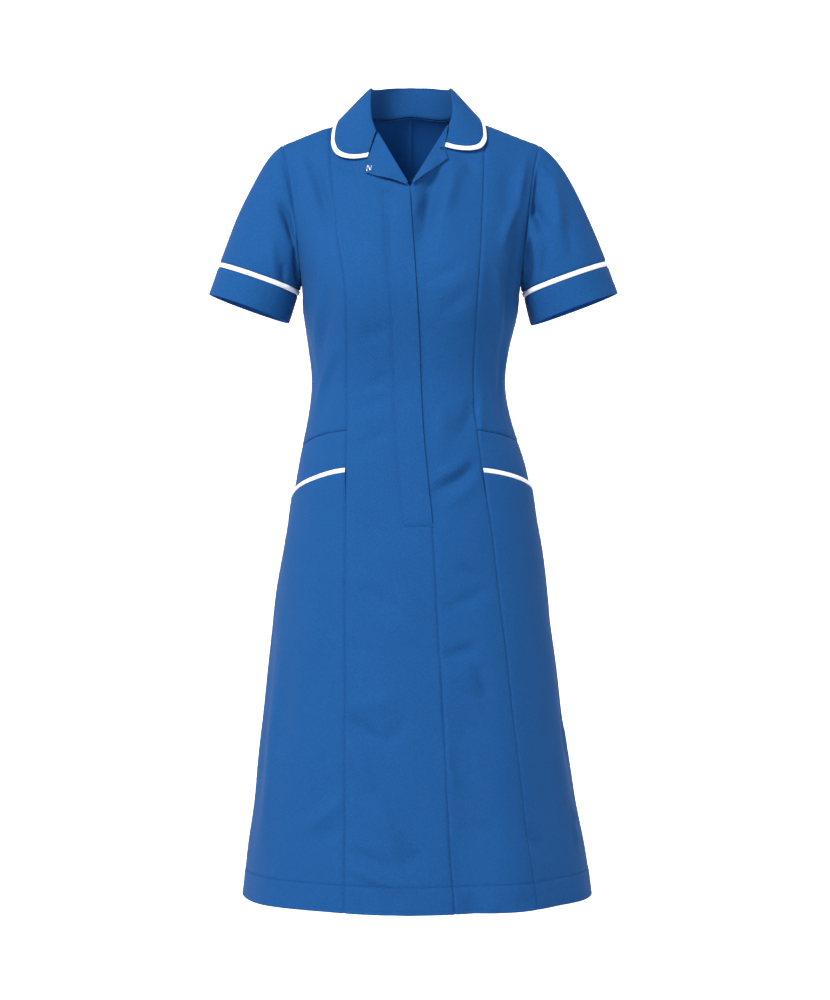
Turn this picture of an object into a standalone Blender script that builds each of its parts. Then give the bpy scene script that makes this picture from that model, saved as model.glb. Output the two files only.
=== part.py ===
"""A nurse's uniform dress, filled out and hollow, as it hangs with nobody in it.

X runs to the viewer's right, Y away from the viewer, Z up, all in metres. The
origin lies between the side neck points, where shoulders would carry the dress.
"Right" and "left" in names are the wearer's, so the right side is at -X.
"""

import bpy
import bmesh
import math
import numpy as np
from mathutils import Vector

# Cloth, as rigid walls
WALL = 0.0015            # cloth with its turnings
GAP = 0.0003             # between pieces that are sewn together
LIFT = 0.0005            # air under a piece that lies on a panel
PIPING = 0.006           # width of the white piping
PIPING_PROUD = 0.0006    # how far the piping stands out of the cloth

# Heights of the main lines
HEM = -1.032
FLY_END = -0.541
POCKET_MOUTH = -0.465
POCKET_SEAM = -0.4155
HIP_FREE = -0.620        # below this the rows of the skirt are level
WAIST = -0.354
UNDERARM = -0.222
V_POINT = -0.098
NAPE = 0.015

# Shoulders
NECK_HALF = 0.062        # side neck point from the middle
TIP_HALF = 0.1715        # shoulder tip from the middle
TIP_HEIGHT = -0.0310
SHOULDER_SLOPE = 0.38
NECK_RISE = 0.016        # extra rise of the shoulder line towards the nape
NECK_RISE_HALF = 0.080
NECK_ARCH = 0.0446       # the line runs on over the neck as a smooth arch
NECK_ARCH_EASE = 0.0150
ROUND_FRONT = 0.20       # how far below the seam the front is still curving
ROUND_BACK = 0.12

# Rounded rings of the body, hem first. x_right and x_left are the outline seen
# from the front, front and back the depths, square the roundness (2 = ellipse).
RING_COLUMNS = ("height", "x_right", "x_left", "front", "back", "square")
RINGS = (
    (-1.032, -0.2258, 0.2405, 0.180, 0.178, 2.05),
    (-0.965, -0.2170, 0.2315, 0.173, 0.173, 2.05),
    (-0.900, -0.2090, 0.2185, 0.164, 0.167, 2.06),
    (-0.804, -0.1995, 0.2060, 0.154, 0.160, 2.08),
    (-0.675, -0.1836, 0.1890, 0.140, 0.149, 2.12),
    (-0.547, -0.1662, 0.1710, 0.126, 0.137, 2.20),
    (-0.466, -0.1518, 0.1545, 0.115, 0.125, 2.28),
    (-0.402, -0.1382, 0.1342, 0.105, 0.106, 2.32),
    (-0.354, -0.1327, 0.1273, 0.100, 0.092, 2.34),
    (-0.306, -0.1367, 0.1315, 0.107, 0.090, 2.36),
    (-0.257, -0.1440, 0.1430, 0.118, 0.097, 2.38),
    (-0.222, -0.1460, 0.1460, 0.121, 0.101, 2.40),
    (-0.190, -0.1540, 0.1540, 0.116, 0.104, 2.40),
    (-0.150, -0.1660, 0.1660, 0.104, 0.105, 2.40),
    (-0.110, -0.1780, 0.1780, 0.091, 0.103, 2.40),
    (-0.070, -0.1900, 0.1900, 0.078, 0.100, 2.40),
    (-0.030, -0.2000, 0.2000, 0.068, 0.095, 2.40),
    (0.030, -0.2050, 0.2050, 0.060, 0.090, 2.40),
)

# Seam lines on the front, as x at each height, hem first
SEAM_COLUMNS = ("height", "right", "centre", "left")
SEAMS = (
    (-1.032, -0.0851, 0.0570, 0.1619),
    (-0.900, -0.0852, 0.0477, 0.1455),
    (-0.788, -0.0852, 0.0424, 0.1330),
    (-0.662, -0.0853, 0.0348, 0.1187),
    (-0.545, -0.0853, 0.0285, 0.1055),
    (-0.480, -0.0850, 0.0218, 0.0958),
    (-0.4155, -0.0845, 0.0160, 0.0871),
    (-0.352, -0.0836, 0.0127, 0.0822),
    (-0.300, -0.0834, 0.0110, 0.0836),
    (-0.234, -0.0858, 0.0075, 0.0875),
    (-0.167, -0.0960, 0.0030, 0.0925),
    (-0.098, -0.1035, -0.0013, 0.0955),
    (-0.060, -0.1062, -0.0013, 0.0968),
    (-0.005, -0.1087, -0.0013, 0.0980),
)

# Side and centre back seams swing with the skirt: degrees round, from the waist down
SWING_COLUMNS = ("height", "side", "back_x")
SWING = (
    (-1.032, 5.0, -0.040),
    (-0.780, 3.0, -0.024),
    (-0.540, 1.0, -0.009),
    (-0.400, 0.0, 0.0),
    (0.030, 0.0, 0.0),
)

# The armhole from underarm (share 0) to shoulder tip (share 1), as degrees round
# the body from its side, and height
ARMHOLE_COLUMNS = ("share", "front_degrees", "front_height", "back_degrees", "back_height")
ARMHOLE = (
    (0.00, 0.0, -0.222, 0.0, -0.222),
    (0.10, 8.0, -0.214, 7.5, -0.214),
    (0.20, 14.0, -0.199, 13.0, -0.199),
    (0.35, 20.5, -0.173, 18.0, -0.173),
    (0.50, 25.5, -0.146, 21.5, -0.146),
    (0.65, 29.0, -0.116, 24.5, -0.115),
    (0.78, 31.8, -0.088, 27.5, -0.087),
    (0.89, 33.4, -0.060, 30.5, -0.060),
    (1.00, 32.8, -0.0310, 32.8, -0.0310),
)

# Back neck seam from nape to side neck point
BACK_NECK_COLUMNS = ("share", "x", "height")
BACK_NECK = (
    (0.00, 0.000, 0.0150),
    (0.40, 0.025, 0.0115),
    (0.72, 0.045, 0.0085),
    (0.90, 0.056, 0.0095),
    (1.00, 0.062, 0.0114),
)

# The pocket mouth and its seam drop towards the side, to 0 where rows are level
DROP_COLUMNS = ("height", "right", "left")
DROPS = (
    (-0.620, 0.000, 0.0000),
    (-0.545, 0.022, 0.0160),
    (-0.465, 0.035, 0.0255),
    (-0.4155, 0.020, 0.0160),
    (-0.360, 0.000, 0.0000),
)
DROP_CURVE = 1.3
POCKET_LIFT = WALL + LIFT

# Soft flutes of the skirt: degrees round, half width in degrees, depth at the hem
FLUTES = (
    (20.0, 13.0, 0.0045),
    (52.0, 12.0, -0.0050),
    (80.0, 12.0, 0.0060),
    (108.0, 11.0, -0.0050),
    (138.0, 12.0, 0.0055),
    (163.0, 10.0, -0.0040),
    (212.0, 11.0, 0.0035),
    (236.0, 10.0, -0.0035),
    (262.0, 10.0, 0.0030),
    (287.0, 6.0, -0.0050),
    (303.0, 8.0, 0.0050),
    (324.0, 9.0, -0.0045),
)
FLUTE_TOP = -0.56

# Bust fullness
BUST_X = 0.078
BUST_HEIGHT = -0.232
BUST_SPREAD = 0.050
BUST_RISE = 0.065
BUST_DEPTH = 0.010

# Sleeves, for the wearer's right; the left is about the same, mirrored
CUFF_DEPTH = 0.039
CUFF_HALF_DEPTH = 0.054
SLEEVE_SIDES = {
    "right": {"outer": (-0.2705, -0.2315), "inner": (-0.1630, -0.2700), "sign": -1.0, "cap": 0.62},
    "left": {"outer": (0.2770, -0.2300), "inner": (0.1605, -0.2730), "sign": 1.0, "cap": 0.74},
}

# Collar stand above the neck seam, from the front end (0) to the nape (1)
NECK_SHARE = 0.45        # where the side neck point lies along the collar
STAND_COLUMNS = ("share", "rise", "inward")
STAND = (
    (0.00, 0.0035, 0.0000),
    (0.15, 0.0090, 0.0010),
    (0.30, 0.0210, 0.0050),
    (0.45, 0.0330, 0.0090),
    (0.60, 0.0400, 0.0080),
    (0.80, 0.0410, 0.0030),
    (1.00, 0.0390, 0.0000),
)
ROLL_HANDLE = 0.008      # how sharply the collar folds over, at the sides and back
COLLAR_AIR = 0.0012      # air between the fall and the dress
COLLAR_NEED = WALL + COLLAR_AIR

# The collar's outer edge on the front, from its front end (0) to the shoulder seam
EDGE_COLUMNS = ("share", "right_x", "right_height", "left_x", "left_height")
EDGE = (
    (0.00, 0.0568, -0.0564, 0.0447, -0.0423),
    (0.07, 0.0720, -0.0590, 0.0600, -0.0465),
    (0.14, 0.0871, -0.0577, 0.0778, -0.0476),
    (0.21, 0.0985, -0.0515, 0.0915, -0.0440),
    (0.28, 0.1040, -0.0400, 0.0985, -0.0340),
    (0.35, 0.1048, -0.0285, 0.0996, -0.0230),
    (0.40, 0.1035, -0.0150, 0.0985, -0.0120),
    (0.45, 0.1000, -0.0038, 0.0955, -0.0021),
)

# The same edge on the back, from the shoulder seam to the middle (1)
BACK_EDGE_COLUMNS = ("share", "x", "height")
BACK_EDGE = (
    (0.45, 0.0980, -0.0031),
    (0.50, 0.0950, -0.0045),
    (0.56, 0.0880, -0.0042),
    (0.64, 0.0740, -0.0027),
    (0.74, 0.0530, -0.0010),
    (0.86, 0.0280, -0.0003),
    (1.00, 0.0000, 0.0000),
)

# Lapels: each has its top on the roll line, its notch by the collar and its tip
LAPELS = {
    "right": {"top": -0.0200, "notch": (-0.0568, -0.0564), "tip": (-0.0594, -0.0784)},
    "left": {"top": -0.0105, "notch": (0.0447, -0.0423), "tip": (0.0488, -0.0577)},
}
LAPEL_START = 0.07       # share of the roll line where the lapel is wide enough to sew
NOTCH_SHARE = 0.62

# Wire hook and eye on the lapels
WIRE_RADIUS = 0.0004
HOOK_SPOT = (-0.0550, -0.0730)
EYE_SPOT = (0.0405, -0.0450)
EYE_RADIUS = 0.0020
HOOK_LENGTH = 0.0060
HOOK_WIDTH = 0.0024

# Triangle budget: cells across and along each piece
FRONT_CELLS = (0.0, 0.23, 0.46, 0.70, 0.85, 1.0)
PLACKET_FIRST = 3        # the fly's flap covers the front from this column on
SIDE_FRONT_CELLS = 5
BACK_CELLS = 8
V_ROW = 6                # rows from the underarm to the bottom of the V
ROWS_OVER_V = (0.23, 0.47, 0.69, 0.87, 1.0)
SLEEVE_ROUND = 28
SLEEVE_ALONG = 7
COLLAR_SHARES = (
    0.0, 0.05, 0.10, 0.15, 0.20, 0.25, 0.30, 0.35, 0.40, 0.45, 0.50, 0.56, 0.64, 0.72, 0.81, 0.90, 1.0
)
COLLAR_STAND_CELLS = 2
COLLAR_FALL_CELLS = 7
LAPEL_ROWS = 7
LAPEL_SHARES = (0.0, 0.31, NOTCH_SHARE, 1.0)


def clear_scene():
    """Take out what a new file starts with."""
    for item in list(bpy.data.objects):
        bpy.data.objects.remove(item, do_unlink=True)


def linear(colour):
    """An sRGB hex colour as the linear values that a shader takes."""
    channels = [int(colour[i:i + 2], 16) / 255.0 for i in (1, 3, 5)]
    return [c / 12.92 if c <= 0.04045 else ((c + 0.055) / 1.055) ** 2.4 for c in channels] + [1.0]


def make_material(name, colour, roughness, metallic):
    """A plain finish in the garment's own colour."""
    material = bpy.data.materials.new(name)
    material.use_nodes = True
    shader = material.node_tree.nodes["Principled BSDF"]
    shader.inputs["Base Color"].default_value = linear(colour)
    shader.inputs["Roughness"].default_value = roughness
    shader.inputs["Metallic"].default_value = metallic
    return material


def read_table(table, columns, column, key):
    """A smooth value from one column of a table, which runs from low keys to high."""
    at = columns.index(column)
    last = len(table) - 1
    if key <= table[0][0]:
        return table[0][at]
    if key >= table[last][0]:
        return table[last][at]
    low = 0
    while table[low + 1][0] < key:
        low += 1

    def slope(row):
        before = max(row - 1, 0)
        after = min(row + 1, last)
        return (table[after][at] - table[before][at]) / (table[after][0] - table[before][0])

    width = table[low + 1][0] - table[low][0]
    t = (key - table[low][0]) / width
    start = (2 * t ** 3 - 3 * t ** 2 + 1) * table[low][at]
    leave = (t ** 3 - 2 * t ** 2 + t) * width * slope(low)
    end = (3 * t ** 2 - 2 * t ** 3) * table[low + 1][at]
    arrive = (t ** 3 - t ** 2) * width * slope(low + 1)
    return start + leave + end + arrive


def mix(a, b, share):
    """The value that lies a share of the way from a to b."""
    return a + (b - a) * share


def shoulder_height(x):
    """Height of the shoulder line, which climbs faster towards the neck and arches over it."""
    away = max(abs(x), NECK_HALF)
    extra = max(0.0, NECK_RISE_HALF - away) / NECK_RISE_HALF
    line = TIP_HEIGHT + (TIP_HALF - away) * SHOULDER_SLOPE + NECK_RISE * extra ** 2
    share = min(abs(x) / NECK_HALF, 1.0)
    return line + NECK_ARCH * (1 - share ** 2) - NECK_ARCH_EASE * (1 - share ** 4)


def ring(height):
    """Middle, half width, front depth, back depth and squareness of the body there."""
    right, left, front, back, square = (
        read_table(RINGS, RING_COLUMNS, column, height) for column in RING_COLUMNS[1:]
    )
    return (right + left) / 2, (left - right) / 2, front, back, square


def flute(degrees, height):
    """How far the skirt waves out at this bearing."""
    if height >= FLUTE_TOP:
        return 0.0
    fade = ((FLUTE_TOP - height) / (FLUTE_TOP - HEM)) ** 1.6
    wave = 0.0
    for middle, half, depth in FLUTES:
        away = (degrees - middle + 180.0) % 360.0 - 180.0
        wave += depth * math.exp(-(away / half) ** 2)
    return fade * wave


def body_point(degrees, height):
    """A point of the cloth's outer side. 0 is the wearer's left, 90 back, 270 front."""
    middle, half, front, back, square = ring(height)
    c = math.cos(math.radians(degrees))
    s = math.sin(math.radians(degrees))
    x = middle + half * math.copysign(abs(c) ** (2 / square), c)
    depth = back if s >= 0 else front
    y = depth * math.copysign(abs(s) ** (2 / square), s)
    if s < 0:
        across = math.exp(-((abs(x) - BUST_X) / BUST_SPREAD) ** 2)
        along = math.exp(-((height - BUST_HEIGHT) / BUST_RISE) ** 2)
        y -= BUST_DEPTH * across * along * abs(s)
    round_over = ROUND_BACK if s >= 0 else ROUND_FRONT
    below = min(max((shoulder_height(x) - height) / round_over, 0.0), 1.0)
    y *= math.sqrt(1.0 - (1.0 - below) ** 2)
    wave = flute(degrees, height)
    return Vector((x + wave * c, y + wave * s, height))


def body_normal(degrees, height):
    """The direction straight out of the cloth."""
    x = body_point(degrees, height).x
    step = 0.0004
    if shoulder_height(x) - height < step:
        lean = (shoulder_height(x + step) - shoulder_height(x - step)) / (2 * step)
        return Vector((-lean, 0.0, 1.0)).normalized()
    turn = 0.15
    sides = []
    for way in (-turn, turn):
        beside = body_point(degrees + way, height).x
        follow = shoulder_height(beside) - shoulder_height(x) if height > V_POINT else 0.0
        sides.append(body_point(degrees + way, height + follow))
    up = body_point(degrees, height) - body_point(degrees, height - step)
    return (sides[1] - sides[0]).cross(up).normalized()


def degrees_at(x, height, face):
    """The bearing of the point with this x, on the front or the back."""
    middle, half, _, _, square = ring(height)
    share = min(abs(x - middle) / half, 1.0)
    away = math.degrees(math.acos(math.copysign(share ** (square / 2), x - middle)))
    return away if face == "back" else 360.0 - away


def side_degrees(side, height):
    """The bearing of a side seam."""
    swing = read_table(SWING, SWING_COLUMNS, "side", height)
    return 180.0 + swing if side == "right" else 360.0 + swing


def front_degrees(line, height):
    """The bearing of a princess seam or of the front edge."""
    return degrees_at(read_table(SEAMS, SEAM_COLUMNS, line, height), height, "front")


def back_degrees(height):
    """The bearing of the centre back seam."""
    return degrees_at(read_table(SWING, SWING_COLUMNS, "back_x", height), height, "back")


def neck_edge(side, height):
    """The bearing of the front edge above the V, where the lapel rolls over."""
    start = read_table(SEAMS, SEAM_COLUMNS, "centre", V_POINT)
    end = math.copysign(NECK_HALF, -1.0 if side == "right" else 1.0)
    share = (height - V_POINT) / (shoulder_height(NECK_HALF) - V_POINT)
    return degrees_at(mix(start, end, share), height, "front")


def armhole_spot(side, face, share):
    """Bearing and height of a point on the armhole."""
    away = read_table(ARMHOLE, ARMHOLE_COLUMNS, face + "_degrees", share)
    height = read_table(ARMHOLE, ARMHOLE_COLUMNS, face + "_height", share)
    if share >= 1.0:
        x = TIP_HALF if side == "left" else -TIP_HALF
        return degrees_at(x, shoulder_height(x), face), shoulder_height(x)
    if face == "back":
        return (away if side == "left" else 180.0 - away), height
    return (360.0 - away if side == "left" else 180.0 + away), height


def coons(bottom, top, low, high, u, v):
    """A spot between four edges, each a function that gives bearing and height."""
    spot = []
    for k in (0, 1):
        along = (1 - v) * bottom(u)[k] + v * top(u)[k]
        across = (1 - u) * low(v)[k] + u * high(v)[k]
        corners = (
            (1 - u) * (1 - v) * bottom(0)[k] + u * (1 - v) * bottom(1)[k]
            + (1 - u) * v * top(0)[k] + u * v * top(1)[k]
        )
        spot.append(along + across - corners)
    return tuple(spot)


def spaced(start, end, count):
    """Heights from start to end in equal steps, without the end."""
    return [mix(start, end, i / count) for i in range(count)]


def lower_rows():
    """Heights of the rows from hem to underarm, at the front panels."""
    rows = spaced(HEM, FLY_END, 12)
    rows += spaced(FLY_END, POCKET_MOUTH - PIPING, 3)
    rows += [POCKET_MOUTH - PIPING, POCKET_MOUTH]
    rows += [mix(POCKET_MOUTH, POCKET_SEAM, 0.5)]
    rows += spaced(POCKET_SEAM, UNDERARM, 8)
    return rows + [UNDERARM]


def upper_rows():
    """Rows above the underarm as shares of the way to the side neck point."""
    bottom_of_v = (V_POINT - UNDERARM) / (shoulder_height(NECK_HALF) - UNDERARM)
    rows = [bottom_of_v * (i + 1) / V_ROW for i in range(V_ROW)]
    return rows + [mix(bottom_of_v, 1.0, share) for share in ROWS_OVER_V]


def dropped(side, height, share):
    """Height of a row, a share of the way from princess seam to side seam."""
    if height <= HIP_FREE or height >= WAIST:
        return height
    return height - read_table(DROPS, DROP_COLUMNS, side, height) * share ** DROP_CURVE


def front_spots(side, heights, shares):
    """Rows of a centre front panel below the underarm, princess seam to front edge."""
    rows = []
    for height in heights:
        start = front_degrees(side, height)
        end = front_degrees("centre", height)
        rows.append([(mix(start, end, share), height) for share in shares])
    return rows


def side_front_spots(side, heights):
    """Rows of a side front panel below the underarm, princess seam to side seam."""
    rows = []
    for height in heights:
        start = front_degrees(side, height)
        end = side_degrees(side, dropped(side, height, 1.0))
        row = []
        for i in range(SIDE_FRONT_CELLS + 1):
            share = i / SIDE_FRONT_CELLS
            row.append((mix(start, end, share), dropped(side, height, share)))
        rows.append(row)
    return rows


def back_spots(side, heights):
    """Rows of a back panel below the underarm, side seam to centre back."""
    rows = []
    for height in heights:
        start = side_degrees(side, dropped(side, height, 1.0))
        start = start - 360.0 if side == "left" else start
        end = back_degrees(height)
        row = []
        for i in range(BACK_CELLS + 1):
            share = i / BACK_CELLS
            row.append((mix(start, end, share), dropped(side, height, 1.0 - share)))
        rows.append(row)
    return rows


def princess_spot(side, v):
    """A point of the princess seam from underarm height (0) to shoulder (1)."""
    top_x = read_table(SEAMS, SEAM_COLUMNS, side, 0.0)
    height = mix(UNDERARM, shoulder_height(top_x), v)
    if v >= 1.0:
        return degrees_at(top_x, height, "front"), height
    return front_degrees(side, height), height


def front_edge_spot(side, v):
    """A point of the front edge from underarm height (0) up to the side neck point (1)."""
    height = mix(UNDERARM, shoulder_height(NECK_HALF), v)
    if height < V_POINT:
        return front_degrees("centre", height), height
    return neck_edge(side, height), height


def shoulder_spot(x_start, x_end, share, face):
    """A point of the shoulder seam between two distances from the middle."""
    x = mix(x_start, x_end, share)
    return degrees_at(x, shoulder_height(x), face), shoulder_height(x)


def front_top_spots(side, shares):
    """Rows of a centre front panel above the underarm."""
    sign = -1.0 if side == "right" else 1.0
    top_x = read_table(SEAMS, SEAM_COLUMNS, side, 0.0)
    ends = (front_degrees(side, UNDERARM), front_degrees("centre", UNDERARM))
    rows = []
    for v in upper_rows():
        row = []
        for u in shares:
            row.append(coons(
                lambda k: (mix(ends[0], ends[1], k), UNDERARM),
                lambda k: shoulder_spot(top_x, sign * NECK_HALF, k, "front"),
                lambda k: princess_spot(side, k),
                lambda k: front_edge_spot(side, k),
                u, v,
            ))
        rows.append(row)
    return rows


def side_front_top_spots(side):
    """Rows of a side front panel above the underarm, princess seam to armhole."""
    sign = -1.0 if side == "right" else 1.0
    top_x = read_table(SEAMS, SEAM_COLUMNS, side, 0.0)
    ends = (front_degrees(side, UNDERARM), side_degrees(side, UNDERARM))
    rows = []
    for v in upper_rows():
        row = []
        for i in range(SIDE_FRONT_CELLS + 1):
            row.append(coons(
                lambda k: (mix(ends[0], ends[1], k), UNDERARM),
                lambda k: shoulder_spot(top_x, sign * TIP_HALF, k, "front"),
                lambda k: princess_spot(side, k),
                lambda k: armhole_spot(side, "front", k),
                i / SIDE_FRONT_CELLS, v,
            ))
        rows.append(row)
    return rows


def back_top_spots(side):
    """Rows of a back panel above the underarm, armhole to centre back."""
    sign = -1.0 if side == "right" else 1.0
    start = 0.0 if side == "left" else 180.0
    shoulder_share = 0.62

    def top(u):
        if u <= shoulder_share:
            return shoulder_spot(sign * TIP_HALF, sign * NECK_HALF, u / shoulder_share, "back")
        share = (1.0 - u) / (1.0 - shoulder_share)
        x = sign * read_table(BACK_NECK, BACK_NECK_COLUMNS, "x", share)
        height = read_table(BACK_NECK, BACK_NECK_COLUMNS, "height", share)
        return degrees_at(x, height, "back"), height

    rows = []
    for v in upper_rows():
        row = []
        for i in range(BACK_CELLS + 1):
            row.append(coons(
                lambda k: (mix(start, back_degrees(UNDERARM), k), UNDERARM),
                top,
                lambda k: armhole_spot(side, "back", k),
                lambda k: (back_degrees(mix(UNDERARM, NAPE, k)), mix(UNDERARM, NAPE, k)),
                i / BACK_CELLS, v,
            ))
        rows.append(row)
    return rows


def raised(spots, out):
    """Points and normals of rows of spots, moved out by a distance or one for each row."""
    points = []
    normals = []
    for j, row in enumerate(spots):
        lift = out[j] if isinstance(out, (list, tuple)) else out
        normals.append([body_normal(*spot) for spot in row])
        points.append([body_point(*spot) + n * lift for spot, n in zip(row, normals[-1])])
    return points, normals


def pull_in(points, edges, by=GAP / 2):
    """Move the named edges of a grid of points inwards, to leave the seam gap."""
    def nearer(point, other):
        return point + (other - point).normalized() * by

    if "low" in edges:
        for row in points:
            row[0] = nearer(row[0], row[1])
    if "high" in edges:
        for row in points:
            row[-1] = nearer(row[-1], row[-2])
    if "bottom" in edges:
        points[0] = [nearer(a, b) for a, b in zip(points[0], points[1])]
    if "top" in edges:
        points[-1] = [nearer(a, b) for a, b in zip(points[-1], points[-2])]
    return points


def wall_object(name, outer, normals, material, closed=False, thick=WALL):
    """A closed wall from rows of outer points, as thick as said, inwards."""
    rows = len(outer)
    columns = len(outer[0])
    inner = [[p - n * thick for p, n in zip(*pair)] for pair in zip(outer, normals)]
    mesh = bpy.data.meshes.new(name)
    bm = bmesh.new()
    skins = [[[bm.verts.new(p) for p in row] for row in skin] for skin in (outer, inner)]
    cells = columns if closed else columns - 1
    for j in range(rows - 1):
        for i in range(cells):
            k = (i + 1) % columns
            for skin in skins:
                bm.faces.new((skin[j][i], skin[j][k], skin[j + 1][k], skin[j + 1][i]))
    for j in (0, rows - 1):
        for i in range(cells):
            k = (i + 1) % columns
            bm.faces.new((skins[0][j][i], skins[0][j][k], skins[1][j][k], skins[1][j][i]))
    if not closed:
        for i in (0, columns - 1):
            for j in range(rows - 1):
                bm.faces.new((skins[0][j][i], skins[0][j + 1][i], skins[1][j + 1][i], skins[1][j][i]))
    bmesh.ops.recalc_face_normals(bm, faces=bm.faces)
    bmesh.ops.triangulate(bm, faces=bm.faces)
    bm.to_mesh(mesh)
    bm.free()
    mesh.materials.append(material)
    mesh.shade_smooth()
    mesh.set_sharp_from_angle(angle=math.radians(40))
    piece = bpy.data.objects.new(name, mesh)
    bpy.context.scene.collection.objects.link(piece)
    return piece


def panel(name, spots, edges, material, out=0.0, thick=WALL):
    """A wall on the body's own surface."""
    points, normals = raised(spots, out)
    return wall_object(name, pull_in(points, edges), normals, material, thick=thick)


def make_fronts(side, rows, cloth):
    """Centre front panel from shoulder to hem."""
    spots = front_spots(side, rows, FRONT_CELLS) + front_top_spots(side, FRONT_CELLS)
    panel("front_" + side, spots, ("low", "high", "top"), cloth)


def make_side_fronts(side, rows, cloth, piping):
    """Bust panel, pocket back, skirt panel and the piping on the pocket mouth."""
    seam = next(i for i, row in enumerate(rows) if row >= POCKET_SEAM)
    mouth = next(i for i, row in enumerate(rows) if row >= POCKET_MOUTH)
    trim = mouth - 1
    upper = side_front_spots(side, rows[seam:]) + side_front_top_spots(side)
    panel("side_front_upper_" + side, upper, ("low", "high", "top", "bottom"), cloth)
    behind = side_front_spots(side, rows[trim - 1:seam + 1])
    panel("pocket_back_" + side, behind, ("low", "high", "top"), cloth)
    lifts = [0.0] * (trim - 2) + [POCKET_LIFT * 0.6, POCKET_LIFT, POCKET_LIFT]
    lower = side_front_spots(side, rows[:trim + 1])
    panel("side_front_lower_" + side, lower, ("low", "high", "top"), cloth, out=lifts)
    strip = side_front_spots(side, rows[trim:mouth + 1])
    panel(
        "pocket_trim_" + side, strip, ("low", "high", "bottom"), piping,
        out=POCKET_LIFT + PIPING_PROUD, thick=WALL + PIPING_PROUD,
    )


def make_back(side, rows, cloth):
    """Half of the back from neck and shoulder to hem."""
    spots = back_spots(side, rows) + back_top_spots(side)
    panel("back_" + side, spots, ("low", "high", "top"), cloth)


def make_placket(rows, cloth):
    """The flap over the front fastening, on the right front's own points."""
    shares = FRONT_CELLS[PLACKET_FIRST:]
    fly = next(i for i, row in enumerate(rows) if row >= FLY_END)
    spots = front_spots("right", rows[fly:], shares)
    above = front_top_spots("right", shares)
    panel("fly_placket", spots + above[:V_ROW], ("low", "high"), cloth, out=LIFT + WALL)


def sleeve_frame(side):
    """Middle of the cuff's mouth, its half width, and the sleeve's own direction."""
    sizes = SLEEVE_SIDES[side]
    outer = Vector((sizes["outer"][0], 0.0, sizes["outer"][1]))
    inner = Vector((sizes["inner"][0], 0.0, sizes["inner"][1]))
    across = (outer - inner) / 2
    down = Vector((across.z, 0.0, -across.x)).normalized()
    if down.z > 0:
        down = -down
    return (outer + inner) / 2, across, down


def armhole_loop(side, degrees):
    """A point of the armhole; 0 is the shoulder tip, 90 the front, 180 the underarm."""
    degrees %= 360.0
    face = "front" if degrees <= 180.0 else "back"
    share = 1.0 - (degrees if degrees <= 180.0 else 360.0 - degrees) / 180.0
    return armhole_spot(side, face, share)


def sleeve_point(side, degrees, share):
    """A point of the sleeve's outer side, from armhole (0) to mouth (1)."""
    middle, across, down = sleeve_frame(side)
    sign = SLEEVE_SIDES[side]["sign"]
    spot = armhole_loop(side, degrees)
    start = body_point(*spot)
    c = math.cos(math.radians(degrees))
    s = math.sin(math.radians(degrees))
    end = middle + across * c + Vector((0.0, -CUFF_HALF_DEPTH * s, 0.0))
    length = (end - start).length
    top = max(c, 0.0)
    under = max(-c, 0.0)
    out_x = 0.62 + 0.26 * top - 0.12 * under
    out = Vector((sign * out_x, -0.34 * s, -0.62 + 0.10 * top - 0.20 * under))
    leave = out.normalized() * length * mix(SLEEVE_SIDES[side]["cap"], 0.80, under)
    arrive = down * length * 0.95
    t = share
    return (
        start * (2 * t ** 3 - 3 * t ** 2 + 1) + leave * (t ** 3 - 2 * t ** 2 + t)
        + end * (3 * t ** 2 - 2 * t ** 3) + arrive * (t ** 3 - t ** 2)
    )


def sleeve_normal(side, degrees, share):
    """The direction straight out of the sleeve."""
    step = 0.004
    low = max(share - step, 0.002)
    high = min(share + step, 1.0)
    along = sleeve_point(side, degrees, high) - sleeve_point(side, degrees, low)
    middle_share = min(max(share, 0.002), 1.0)
    round_by = sleeve_point(side, degrees + 1.0, middle_share) - sleeve_point(side, degrees - 1.0, middle_share)
    normal = round_by.cross(along).normalized()
    return -normal if SLEEVE_SIDES[side]["sign"] < 0 else normal


def sleeve_share(side, degrees, from_mouth):
    """How far down the sleeve a point lies that is this far above the mouth."""
    low = 0.0
    high = 1.0
    end = sleeve_point(side, degrees, 1.0)
    for _ in range(24):
        guess = (low + high) / 2
        if (sleeve_point(side, degrees, guess) - end).length > from_mouth:
            low = guess
        else:
            high = guess
    return high


def sleeve_rows(side, starts, ends, cells, out):
    """Rows of points and normals between two distances down the sleeve."""
    points = []
    normals = []
    for j in range(cells + 1):
        row = []
        row_normals = []
        for i in range(SLEEVE_ROUND):
            degrees = 360.0 * i / SLEEVE_ROUND
            share = mix(starts[i], ends[i], j / cells)
            normal = sleeve_normal(side, degrees, share)
            row.append(sleeve_point(side, degrees, share) + normal * out)
            row_normals.append(normal)
        points.append(row)
        normals.append(row_normals)
    return points, normals


def make_sleeve(side, cloth, piping):
    """Sleeve, piping and cuff, one after the other down the arm."""
    bearings = [360.0 * i / SLEEVE_ROUND for i in range(SLEEVE_ROUND)]
    start = [0.0] * SLEEVE_ROUND
    high = [sleeve_share(side, d, CUFF_DEPTH + PIPING) for d in bearings]
    low = [sleeve_share(side, d, CUFF_DEPTH) for d in bearings]
    end = [1.0] * SLEEVE_ROUND
    points, normals = sleeve_rows(side, start, high, SLEEVE_ALONG, 0.0)
    points = pull_in(points, ("bottom",), GAP)
    wall_object("sleeve_" + side, pull_in(points, ("top",)), normals, cloth, closed=True)
    points, normals = sleeve_rows(side, high, low, 1, PIPING_PROUD)
    points = pull_in(points, ("top", "bottom"))
    wall_object("sleeve_trim_" + side, points, normals, piping, closed=True, thick=WALL + PIPING_PROUD)
    points, normals = sleeve_rows(side, low, end, 3, 0.0)
    wall_object("cuff_" + side, pull_in(points, ("bottom",)), normals, cloth, closed=True)


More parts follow.
